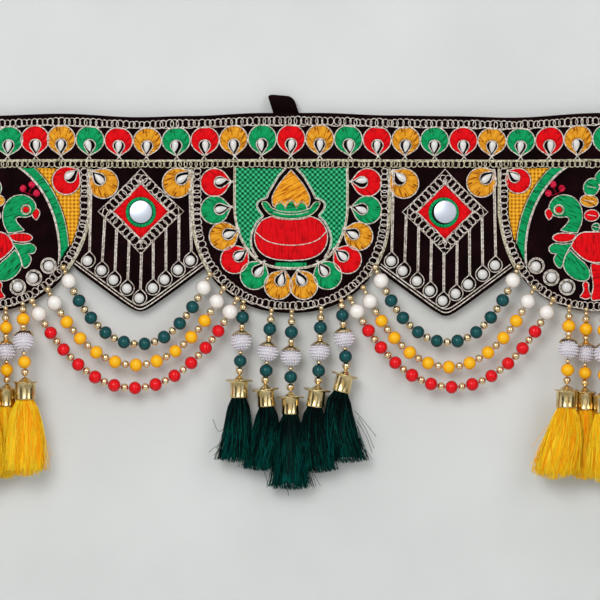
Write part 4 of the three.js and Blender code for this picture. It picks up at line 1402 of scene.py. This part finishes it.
def makeMirror(node, material):
    low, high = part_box(node)
    x, drop = mirrors[node]
    piece = primitive("cylinder", vertices=mirrorForm["sides"], radius=mirrorForm["radius"] * mm,
                      depth=high[1] - low[1], rotation=(pi / 2, 0, 0),
                      location=(x * mm, (low[1] + high[1]) / 2, -drop * mm))
    bpy.ops.object.transform_apply()
    edit(False)
    shape = bmesh.from_edit_mesh(piece.data)
    for face in shape.faces:
        face.select = face.normal.y < -0.9
    shape.select_mode = {"FACE"}
    shape.select_flush_mode()
    bmesh.update_edit_mesh(piece.data)
    bpy.ops.mesh.bevel(offset=mirrorForm["bevel"] * mm, segments=3, affect="EDGES")
    bpy.ops.mesh.select_all(action="SELECT")
    bpy.ops.mesh.dissolve_degenerate(threshold=1e-6)
    done()
    bpy.ops.object.shade_smooth_by_angle(angle=radians(25))
    piece.name = "glass_" + node
    piece.data.materials.append(material)
    register(piece)
    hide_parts(node)
    return piece


clothForm = {"rows": 30, "step": 3.2, "round": 0.45}


def clothStations():
    stations = []
    names = list(panels)
    for i, name in enumerate(names):
        shape, middle, half = panels[name][:3]
        low = middle - half if i == 0 else notchOf(names[i - 1], name)
        high = middle + half if i == len(names) - 1 else notchOf(name, names[i + 1])
        count = max(8, round((high - low) / clothForm["step"]))
        if shape == "round":
            turn = [asin(min(1, max(-1, (x - middle) / half))) for x in (low, high)]
            xs = middle + half * np.sin(np.linspace(*turn, count + 1))
        else:
            count = count // 2 + 1
            xs = np.concatenate([np.linspace(low, middle, count), np.linspace(middle, high, count)[1:]])
        feet = footOfPanel(name, xs)
        stations += list(zip(xs if i == 0 else xs[1:], feet if i == 0 else feet[1:]))
    return np.array(stations)


def notchOf(left, right):
    low, high = panels[right][1] - panels[right][2], panels[left][1] + panels[left][2]
    for _ in range(40):
        x = (low + high) / 2
        low, high = (x, high) if footOfPanel(left, x) > footOfPanel(right, x) else (low, x)
    return (low + high) / 2


def makeCloth(material):
    # a sheet of velvet, modelled from its front and given its thickness behind
    stations = clothStations()
    rows = clothForm["rows"]
    cloth = primitive("grid", x_subdivisions=len(stations) - 1, y_subdivisions=rows, size=2)
    cloth.name = "velvet"
    for point in cloth.data.vertices:
        i = round((point.co.x + 1) / 2 * (len(stations) - 1))
        j = round((1 - point.co.y) / 2 * rows)
        x, foot = stations[i]
        top = float(topDrop(x))
        drop = top + (foot - top) * j / rows
        point.co = (x * mm, float(clothFront(x, drop)) * mm, -drop * mm)
    solid = cloth.modifiers.new("thickness", "SOLIDIFY")
    solid.thickness = hang["thickness"] * mm
    solid.offset = -1
    soft = cloth.modifiers.new("soft edge", "BEVEL")
    soft.width, soft.segments, soft.angle_limit = clothForm["round"] * mm, 3, radians(60)
    for modifier in ("thickness", "soft edge"):
        bpy.ops.object.modifier_apply(modifier=modifier)
    bpy.ops.object.shade_smooth()
    cloth.data.materials.append(material)
    register(cloth)
    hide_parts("cloth")
    return cloth


# middle, lean, how far the top falls to the right, and each corner's reach and drop
loops = {
    "hanging_loop_left": (-304.0, 0.0, 0.0, (3.4, 1.9), (3.4, 1.9)),
    "hanging_loop_middle": (-4.0, -0.32, 1.8, (4.8, 2.8), (4.6, 4.8)),
    "hanging_loop_right": (312.0, 0.0, 0.0, (3.4, 1.9), (3.4, 1.9)),
}
loopForm = {
    "width": 20.4, "height": 15.2, "tape": 1.8, "inside": 5.2, "tail": 14.0, "rootRise": 0.8, "shoulder": 5.6,
    "insideFoot": 3.5, "insideShoulder": 6.3, "gap": 0.35, "columns": 20, "pulledIn": 0.12,
}


def makeLoop(node, material):
    x0, lean, fall, *corners = loops[node]
    form = loopForm
    inner = form["inside"] / 2
    outer, middle = inner + form["tape"], form["gap"] + form["tape"] / 2
    crown = form["height"] - outer
    arc = lambda r, a, b: [(middle + r * cos(t), crown + r * sin(t)) for t in np.linspace(a, b, 15)]
    around = [(form["gap"], -form["tail"]), (form["gap"] + form["tape"], -form["tail"]),
              (form["gap"] + form["tape"], form["rootRise"]), (middle + outer, form["shoulder"]),
              *arc(outer, 0, pi), (middle - outer, form["shoulder"]), (form["gap"], form["rootRise"])]
    within = [(middle, form["insideFoot"]), (middle + inner, form["insideShoulder"]), *arc(inner, 0, pi),
              (middle - inner, form["insideShoulder"])]
    around, within = evenly(around, 1.1, True), evenly(within, 1.1, True)
    goods = newGoods()
    columns = form["columns"]
    t = np.linspace(-1, 1, columns + 1)
    x = form["width"] / 2 * np.sin(t * np.pi / 2)
    dip = float(topDrop(x0))
    (leftReach, leftDrop), (rightReach, rightDrop) = corners
    size = np.where(x < 0, leftReach, rightReach)
    reach = np.clip((np.abs(x) - form["width"] / 2 + size) / size, 0, 1)
    lower = np.where(x < 0, leftDrop, rightDrop) * (1 - np.sqrt(1 - reach ** 2))
    lower = lower + fall * (x / form["width"] + 0.5)

    def place(section):
        z = section[:, 1][None] - (lower[:, None] * np.clip(section[:, 1] / crown, 0, 1)[None])
        px = x0 + x[:, None] + lean * np.maximum(z, 0)
        # the flat tape pulls in a little where it is folded
        py = middle + (section[:, 0][None] - middle) * (1 - form["pulledIn"] * (reach ** 2)[:, None])
        return np.stack([px, np.broadcast_to(py, px.shape), z - dip], -1)

    for section, turnedIn in ((around, False), (within, True)):
        n = len(section)
        i, k = np.indices((columns, n))
        quads = cellCorners(lambda i, k: i * n + k % n, i, k).reshape(-1, 4)
        addFaces(goods, place(section).reshape(-1, 3), [quads if turnedIn else quads[:, ::-1]])
    both = np.vstack([around, within])
    flat, triangles = trianglesWithin(both, edgesOf([around, within]), around, [within])[:2]
    for column, faces in ((0, triangles), (columns, triangles[:, ::-1])):
        z = flat[:, 1] - lower[column] * np.clip(flat[:, 1] / crown, 0, 1)
        y = middle + (flat[:, 0] - middle) * (1 - form["pulledIn"] * reach[column] ** 2)
        addFaces(goods, np.stack([x0 + x[column] + lean * np.maximum(z, 0), y, z - dip], 1), [faces])
    piece = makePiece("tape_" + node, goods, [material])
    startModel()
    bpy.context.view_layer.objects.active = piece
    piece.select_set(True)
    edit()
    bpy.ops.mesh.remove_doubles(threshold=1e-6)
    done()
    bpy.ops.object.shade_smooth_by_angle(angle=radians(40))
    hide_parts(node)
    return piece


# Materials

def addNode(tree, kind, inputs=None, **settings):
    made = tree.nodes.new("ShaderNode" + kind)
    for label, value in settings.items():
        setattr(made, label, value)
    for label, value in (inputs or {}).items():
        if isinstance(value, bpy.types.NodeSocket):
            tree.links.new(value, made.inputs[label])
        else:
            made.inputs[label].default_value = value
    return made


def newGroup(name, **inputs):
    # a group that gives the height and the shade of a thread from where it lies
    tree = bpy.data.node_groups.new(name, "ShaderNodeTree")
    tree.interface.new_socket("Vector", in_out="INPUT", socket_type="NodeSocketVector")
    for label, value in inputs.items():
        tree.interface.new_socket(label, in_out="INPUT", socket_type="NodeSocketFloat").default_value = value
    for label in ("Height", "Shade"):
        tree.interface.new_socket(label, in_out="OUTPUT", socket_type="NodeSocketFloat")
    given, out = tree.nodes.new("NodeGroupInput"), tree.nodes.new("NodeGroupOutput")
    return tree, given.outputs, out.inputs


def mathsIn(tree):
    # the function it gives adds one node for each operation
    def maths(operation, *values):
        return addNode(tree, "Math", dict(enumerate(values)), operation=operation).outputs[0]

    return maths


def noiseOn(tree, scale, detail=3.0, vector=None, stretch=None):
    # noise over the object's own places, or over another vector
    vector = vector or addNode(tree, "TexCoord").outputs["Object"]
    if stretch:
        vector = addNode(tree, "Mapping", {"Vector": vector, "Scale": stretch}).outputs[0]
    return addNode(tree, "TexNoise", {"Vector": vector, "Scale": scale, "Detail": detail}).outputs["Fac"]


def between(tree, value, low, high):
    return addNode(tree, "MapRange", {"Value": value, "From Min": low, "From Max": high}).outputs[0]


def satinThreads():
    # threads run along U: fine rows, creases where threads part, blotches, and heavier ribs. The Shade paints
    # shade between the rows, in the creases and in the furrows between the ribs; the blotches are the
    # thread's own uneven tone
    tree, given, out = newGroup("satin threads", Width=0.42, Rib=3.0, Ribbing=0.0)
    maths = mathsIn(tree)
    parts = addNode(tree, "SeparateXYZ", {"Vector": given["Vector"]}).outputs

    def wave(pitch, drift):
        row = maths("DIVIDE", maths("ADD", parts["Y"], drift), pitch)
        return maths("MULTIPLY_ADD", maths("SINE", maths("MULTIPLY", row, 6.2832)), 0.5, 0.5)

    def streaks(stretch, scale):
        long = addNode(tree, "CombineXYZ", {"X": maths("MULTIPLY", parts["X"], stretch), "Y": parts["Y"]})
        return noiseOn(tree, scale, vector=long.outputs[0])

    loose = streaks(0.14, 0.75)
    # painted shade: the creases go dark where the threads part; the blotches are random tone
    creases, blotches = between(tree, loose, 0.36, 0.5), between(tree, streaks(0.7, 0.3), 0.3, 0.7)
    drift = maths("MULTIPLY", loose, 1.2)
    rows, ribs = wave(given["Width"], drift), wave(given["Rib"], drift)
    # painted shade in the creases, and random tone from the blotches
    uneven = maths("MULTIPLY_ADD", creases, 0.5, maths("MULTIPLY", blotches, 0.3))
    shade = maths("ADD", maths("MULTIPLY", rows, 0.2), uneven)
    # painted shade in the furrows between the ribs, which have no relief of their own
    furrowShade = maths("MULTIPLY", maths("SUBTRACT", 1.0, ribs), given["Ribbing"])
    height = maths("ADD", maths("MULTIPLY", rows, 0.4), maths("MULTIPLY", creases, 0.6))
    tree.links.new(height, out["Height"])
    tree.links.new(maths("SUBTRACT", shade, furrowShade), out["Shade"])
    return tree


def twistedCord():
    # plied metal thread: strands that wind round, U along the cord in millimetres, V once around. The Shade
    # paints shade in the grooves between the strands, and glints and dark flecks along the cord
    tree, given, out = newGroup("twisted cord", Lay=1.5)
    maths = mathsIn(tree)
    parts = addNode(tree, "SeparateXYZ", {"Vector": given["Vector"]}).outputs
    wind = maths("ADD", maths("DIVIDE", parts["X"], given["Lay"]), parts["Y"])
    height = maths("ADD", maths("MULTIPLY", maths("SINE", maths("MULTIPLY", wind, 12.566)), 0.5), 0.5)
    # painted glints and painted shade, in flecks along the twist
    glintFlecks = between(tree, noiseOn(tree, 560.0), 0.34, 0.62)
    shade = maths("ADD", maths("MULTIPLY", height, 0.35), maths("MULTIPLY", glintFlecks, 0.6))
    tree.links.new(height, out["Height"])
    tree.links.new(shade, out["Shade"])
    return tree


def newMaterial(name, **settings):
    material = bpy.data.materials.new(name)
    material.use_nodes = True
    shader = material.node_tree.nodes["Principled BSDF"]
    for label, value in settings.items():
        shader.inputs[label.replace("_", " ")].default_value = value
    return material, material.node_tree, shader


def rgb(r, g, b):
    # a screen colour from 0 to 255, as light
    light = [c / 255 / 12.92 if c <= 10.3 else ((c / 255 + 0.055) / 1.055) ** 2.4 for c in (r, g, b)]
    return (*light, 1.0)


def rampOf(tree, value, stops):
    ramp = addNode(tree, "ValToRGB", {"Fac": value})
    elements = ramp.color_ramp.elements
    while len(elements) < len(stops):
        elements.new(0.5)
    for element, (at, colour) in zip(elements, stops):
        element.position, element.color = at, colour
    return ramp.outputs["Color"]


def paint(tree, shader, value, stops):
    tree.links.new(rampOf(tree, value, stops), shader.inputs["Base Color"])


def threadMap(tree):
    return addNode(tree, "UVMap", uv_map="thread").outputs[0]


def bumpOf(tree, shader, height, strength, distance):
    bump = addNode(tree, "Bump", {"Height": height, "Strength": strength, "Distance": distance * mm})
    tree.links.new(bump.outputs[0], shader.inputs["Normal"])


def threadMaterial(name, group, width, tones, rib=(3.0, 0.0), stops=(0.12, 0.5, 0.9), **settings):
    # width: of a thread, or the lay of a cord; rib: the ribs' pitch and how dark the painted shade in their
    # furrows is
    material, tree, shader = newMaterial(name, **settings)
    rows = addNode(tree, "Group", {"Vector": threadMap(tree)}, node_tree=group)
    rows.inputs[1].default_value = width
    if "Rib" in rows.inputs:
        rows.inputs["Rib"].default_value, rows.inputs["Ribbing"].default_value = rib
    paint(tree, shader, rows.outputs["Shade"], list(zip(stops, tones)))
    bumpOf(tree, shader, rows.outputs["Height"], 0.7, 0.12)
    return material


def basketMaterial(name, group, dark, middle, light, **settings):
    # as satin, with painted shade in the dip at the middle of each crossing and painted highlight on the
    # raised cells between
    material, tree, shader = newMaterial(name, **settings)
    maths, thread = mathsIn(tree), threadMap(tree)
    parts = addNode(tree, "SeparateXYZ", {"Vector": thread}).outputs
    turn = 2 * pi / basket["pitch"]
    c = maths("MULTIPLY", *(maths("COSINE", maths("MULTIPLY", parts[axis], turn)) for axis in "XY"))
    uneven = noiseOn(tree, 0.55, vector=thread)
    # painted shade in the dips, painted highlight on the cells between, and random tone from the noise
    rise = maths("MULTIPLY_ADD", uneven, 0.9, maths("MULTIPLY_ADD", c, -0.5, 0.0))
    paint(tree, shader, rise, [(0.13, dark), (0.35, middle), (0.6, middle), (0.85, light)])
    rows = addNode(tree, "Group", {"Vector": thread}, node_tree=group)
    bumpOf(tree, shader, rows.outputs["Height"], 0.6, 0.12)
    return material


def velvetMaterial():
    material, tree, shader = newMaterial("dark velvet", Roughness=0.9, Sheen_Weight=0.03, Sheen_Roughness=0.4,
                                         Sheen_Tint=rgb(180, 70, 76), Specular_IOR_Level=0.03)
    maths, crush, nap = mathsIn(tree), noiseOn(tree, 90.0), noiseOn(tree, 2200.0, 2.0)
    both = maths("ADD", maths("MULTIPLY", crush, 0.6), maths("MULTIPLY", nap, 0.5))
    paint(tree, shader, both, [(0.35, rgb(8, 3, 4)), (0.55, rgb(18, 6, 8)), (0.8, rgb(36, 12, 15))])
    bumpOf(tree, shader, nap, 0.5, 0.25)
    return material


def plainGloss(name, colour, mottle=0.12, scale=260.0, **settings):
    material, tree, shader = newMaterial(name, **settings)
    darker, lighter = ([min(1, c * (1 + more)) for c in colour[:3]] + [1] for more in (-mottle, mottle))
    paint(tree, shader, noiseOn(tree, scale, 2.0), [(0.35, darker), (0.65, lighter)])
    return material


def beadMaterial(name, centre, middle, rim, **settings):
    # painted shade: beads, stones and pearls are coloured darker towards their rims as they face away,
    # lighter in the centre
    material, tree, shader = newMaterial(name, **settings)
    maths, noise = mathsIn(tree), noiseOn(tree, 320.0, 2.0)
    facing = addNode(tree, "LayerWeight", {"Blend": 0.4}).outputs["Facing"]
    # painted shade towards the rim by Layer Weight facing, plus random tone from the noise
    depth = maths("MULTIPLY_ADD", noise, 0.3, maths("SUBTRACT", facing, 0.15))
    paint(tree, shader, depth, [(0.0, centre), (0.4, middle), (0.85, rim)])
    return material


def metalMaterial(name, dark, light, scale, roughness, bump):
    # plated brass: a little uneven in colour, with fine marks
    material, tree, shader = newMaterial(name, Metallic=1.0)
    noise = noiseOn(tree, scale, stretch=(1.0, 1.0, 0.6))
    paint(tree, shader, noise, [(0.3, dark), (0.7, light)])
    rough = addNode(tree, "MapRange", {"Value": noise, "To Min": roughness * 0.7, "To Max": roughness * 1.4})
    tree.links.new(rough.outputs[0], shader.inputs["Roughness"])
    bumpOf(tree, shader, noise, 0.25, bump)
    return material


def silkMaterial(name, dark, middle, light, sheen, shaded):
    # each thread keeps its own tone, with painted shade below the cap and painted light at the cut end
    material, tree, shader = newMaterial(name, Roughness=0.42, Sheen_Weight=sheen, Sheen_Roughness=0.35,
                                         Sheen_Tint=light, Specular_IOR_Level=sheen, Diffuse_Roughness=0.8)
    maths, noise = mathsIn(tree), noiseOn(tree, 480.0, stretch=(1.0, 1.0, 0.12))
    parts = addNode(tree, "SeparateXYZ", {"Vector": threadMap(tree)}).outputs
    # painted light on the cut ends
    foot = addNode(tree, "MapRange", {"Value": parts["X"], "From Min": 0.75, "To Max": 0.3}).outputs[0]
    # painted shade below the cap
    head = addNode(tree, "MapRange",
                   {"Value": parts["X"], "From Min": 0.3, "From Max": 0.1, "To Max": shaded})
    tone = maths("MULTIPLY_ADD", parts["Y"], 0.6, maths("MULTIPLY", noise, 0.5))
    tone = maths("SUBTRACT", maths("ADD", tone, foot), head.outputs[0])
    paint(tree, shader, tone, [(0.2, dark), (0.5, middle), (0.85, light)])
    return material


def tonesOf(*colours):
    return [rgb(*colour) for colour in colours]


def makeFinishes():
    satin, cord = satinThreads(), twistedCord()
    made = {"velvet": velvetMaterial()}
    soft = {"Roughness": 0.55, "Specular_IOR_Level": 0.07}
    metalThread = {"Roughness": 0.4, "Metallic": 0.25, "Specular_IOR_Level": 0.6}
    # tones: painted shade in the creases, the satin's own colour between, and painted light on the threads'
    # tops; then what differs from plain satin
    satins = {
        "red satin": ((140, 0, 8), (208, 2, 14), (238, 8, 18), {}),
        "yellow satin": ((118, 56, 6), (216, 136, 20), (248, 184, 54), {"stops": (0.26, 0.62, 0.95)}),
        "green satin": ((0, 56, 30), (4, 130, 74), (14, 168, 100), {}),
        "pink satin": ((96, 4, 24), (188, 12, 46), (222, 44, 80), {}),
        "slanted yellow satin": ((150, 70, 8), (232, 146, 22), (250, 182, 52), {"rib": (2.3, 0.2)}),
        "upright red satin": ((150, 0, 8), (206, 2, 14), (232, 8, 20),
                              {"rib": (1.9, 0.08), "stops": (0.0, 0.45, 0.9)}),
    }
    made["satin"] = [threadMaterial(name, satin, 0.42, tonesOf(*tones), **own, **soft)
                     for name, (*tones, own) in satins.items()]
    # basket tones: painted shade in the dips, the stitch's own colour, and painted highlight on the cells
    baskets = {
        "green basket stitch": ((0, 52, 28), (20, 140, 88), (84, 204, 150)),
        "yellow basket stitch": ((170, 102, 14), (230, 158, 30), (246, 190, 60)),
    }
    made["basket"] = [basketMaterial(name, satin, *tonesOf(*tones), **soft)
                      for name, tones in baskets.items()]
    # zari tones: painted shade, the thread's own colour, and painted glints
    pale = tonesOf((116, 98, 84), (224, 211, 197), (255, 251, 244))
    greenish = tonesOf((106, 96, 66), (206, 197, 164), (248, 243, 220))
    made["zari"] = threadMaterial("pale zari", cord, 1.6, pale, **metalThread)
    made["greenZari"] = threadMaterial("green gold zari", cord, 1.6, greenish, **metalThread)
    # stones and pearls: tones for the centre, between, and the rim, where the rim tone is painted shade
    milky = tonesOf((222, 219, 215), (196, 193, 188), (100, 98, 96))
    made["stone"] = beadMaterial("milky stone", *milky, Roughness=0.2, Coat_Weight=0.5)
    # mirror glass: metal reflection, with a pale bluish colour, partly diffuse, that is a painted reflection
    # of a bright sky
    made["mirror"] = plainGloss("mirror glass", rgb(206, 213, 226), 0.02, 40.0, Metallic=0.7, Roughness=0.3)
    gold = metalMaterial("gold plated beads", *tonesOf((214, 182, 130), (248, 230, 192)), 300.0, 0.16, 0.02)
    pearl = beadMaterial("pearl", *tonesOf((250, 245, 238), (234, 226, 218), (184, 170, 158)),
                         Roughness=0.2, Coat_Weight=0.5)
    ridgedPearl = beadMaterial("ridged pearl", *tonesOf((236, 232, 238), (222, 216, 224), (168, 160, 172)),
                               Roughness=0.3, Coat_Weight=0.3)
    thread = plainGloss("bead thread", rgb(196, 186, 168), 0.1, Roughness=0.7)
    made["brass"] = metalMaterial("turned brass", *tonesOf((196, 162, 96), (250, 232, 180)), 190.0, 0.13, 0.5)
    # bead tones: the centre, between, and painted shade at the rim
    colours = {
        "green": ((0, 80, 82), (0, 58, 62), (0, 26, 32)),
        "yellow": ((255, 194, 20), (254, 176, 6), (220, 124, 0)),
        "red": ((236, 2, 20), (214, 0, 14), (134, 0, 10)),
    }
    for colour, tones in colours.items():
        bead = beadMaterial(colour + " bead", *tonesOf(*tones), Roughness=0.18, Specular_IOR_Level=0.3)
        made[colour] = [bead, gold, pearl, ridgedPearl, thread]
    made["greenSilk"] = silkMaterial("green silk", *tonesOf((0, 6, 6), (0, 26, 25), (0, 94, 84)), 0.05, 0.25)
    made["yellowSilk"] = silkMaterial("yellow silk", *tonesOf((254, 154, 6), (255, 212, 18), (255, 236, 70)),
                                      0.12, 0.06)
    return made


# Put together

finishes = makeFinishes()
print("finishes made")

cloth = makeCloth(finishes["velvet"])
tapes = [makeLoop(node, finishes["velvet"]) for node in loops]
glass = [makeMirror(node, finishes["mirror"]) for node in mirrors]
print("cloth, tapes and mirrors made")

works = {"band": newWork(), "kalash": newWork(), "pointed": newWork(), "peacocks": newWork()}
sewBand(works["band"])
sewKalash(works["kalash"])
sewPointed(works["pointed"], "left", 41)
sewPointed(works["pointed"], "right", 51)
sewPeacocks(works["peacocks"], "far_left", 61)
sewPeacocks(works["peacocks"], "far_right", 66)
zari, greenZari = [finishes["zari"]], [finishes["greenZari"]]
piles = {"satin": finishes["satin"], "basket": finishes["basket"], "cord": zari, "greenCord": greenZari,
         "chain": zari, "greenChain": greenZari}
for area, work in works.items():
    for kind, materials in piles.items():
        if work[kind]["count"]:
            makePiece(f"{kind}_{area}", work[kind], materials)
    sewStones(work, f"stones_{area}", finishes["stone"])
print("embroidery made")

templates = makeTemplates()
hangSwags(templates, finishes)
print("swags made")
hangStrings(templates, finishes)
print("strings, caps and tassels made")

# Wall, floor, lights and camera

studio = {
    "wallY": 6.0, "floorDrop": 750.0, "wall": (rgb(215, 217, 215), rgb(221, 223, 221)),
    "aimX": 7.2, "aimDrop": 149.6, "distance": 4000.0, "frameWidth": 480.0, "sensor": 36.0,
    # place, power and size
    "key": ((-450, -1600, 480), 12.6, 1.0), "fill": ((900, -1100, 250), 2.4, 0.8),
    # the room: strength by height, brighter and darker uprights, and a pale window behind the camera
    "heights": ((0.0, 0.06), (0.38, 0.12), (0.5, 0.42), (0.7, 0.6), (1.0, 0.6)),
    "uprights": 0.94, "uprightCount": 6.0, "window": 0.86, "windowFrom": 0.95, "windowTo": 0.975,
}


def stagePlane(name, size, place, turn):
    plane = primitive("plane", size=size, location=[v * mm for v in place], rotation=turn)
    plane.name = name
    material, tree, shader = newMaterial(name + " paint", Roughness=0.9)
    paint(tree, shader, noiseOn(tree, 9.0, 6.0), list(zip((0.35, 0.65), studio["wall"])))
    # seen only from its front, so that it hides nothing from behind
    away = addNode(tree, "NewGeometry").outputs["Backfacing"]
    clear = addNode(tree, "BsdfTransparent").outputs[0]
    mixed = addNode(tree, "MixShader", {0: away, 1: shader.outputs[0], 2: clear})
    tree.links.new(mixed.outputs[0], tree.nodes["Material Output"].inputs["Surface"])
    plane.data.materials.append(material)


def addSoftLight(name, place, power, size):
    light = bpy.data.lights.new(name, "AREA")
    light.shape, light.size, light.energy = "DISK", size, power
    lamp = addObject(name, light)
    lamp.location = [v * mm for v in place]
    target = np.array([studio["aimX"], 0, -studio["aimDrop"]]) * mm
    lamp.rotation_euler = (Vector(target) - lamp.location).to_track_quat("-Z", "Y").to_euler()


stagePlane("wall", 6.0, (0, studio["wallY"], 1500), (pi / 2, 0, 0))
stagePlane("floor", 8.0, (0, -1500, -studio["floorDrop"]), (0, 0, 0))
for name in ("key", "fill"):
    addSoftLight(name, *studio[name])


def makeRoom():
    # what the metal and the glass reflect
    world = bpy.data.worlds.new("room")
    bpy.context.scene.world = world
    world.use_nodes = True
    tree = world.node_tree
    place = addNode(tree, "TexCoord")
    parts = addNode(tree, "SeparateXYZ", {"Vector": place.outputs["Generated"]})
    x, y, z = (parts.outputs[axis] for axis in "XYZ")
    maths = mathsIn(tree)
    height = maths("MULTIPLY_ADD", z, 0.5, 0.5)
    grey = rampOf(tree, height, [(at, (value, value, value * 1.02, 1)) for at, value in studio["heights"]])
    turn = maths("MULTIPLY", maths("ARCTAN2", x, y), studio["uprightCount"])
    bands = maths("MULTIPLY_ADD", maths("SINE", turn), studio["uprights"], 1.0)
    lit = addNode(tree, "VectorMath", {0: grey, "Scale": bands}, operation="SCALE").outputs[0]
    span = {"From Min": studio["windowFrom"], "From Max": studio["windowTo"], "To Max": studio["window"]}
    window = addNode(tree, "MapRange", {"Value": maths("MULTIPLY", y, -1.0), **span},
                     interpolation_type="SMOOTHSTEP").outputs[0]
    whole = addNode(tree, "VectorMath", {0: lit, 1: window}, operation="MAXIMUM")
    tree.links.new(whole.outputs[0], tree.nodes["Background"].inputs["Color"])


makeRoom()

camera = addObject("camera", bpy.data.cameras.new("camera"))
bpy.context.scene.camera = camera
camera.data.sensor_width = studio["sensor"]
camera.data.lens = studio["sensor"] * studio["distance"] / studio["frameWidth"]
camera.location = [v * mm for v in (studio["aimX"], -studio["distance"], -studio["aimDrop"])]
camera.rotation_euler = (pi / 2, 0, 0)
camera.data.clip_end = 20
bpy.context.scene.view_settings.view_transform = "Standard"

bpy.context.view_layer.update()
triangles = sum(len(face.vertices) - 2 for piece in bpy.context.scene.objects if piece.type == "MESH"
                for face in piece.data.polygons)
print("triangles in all:", triangles)
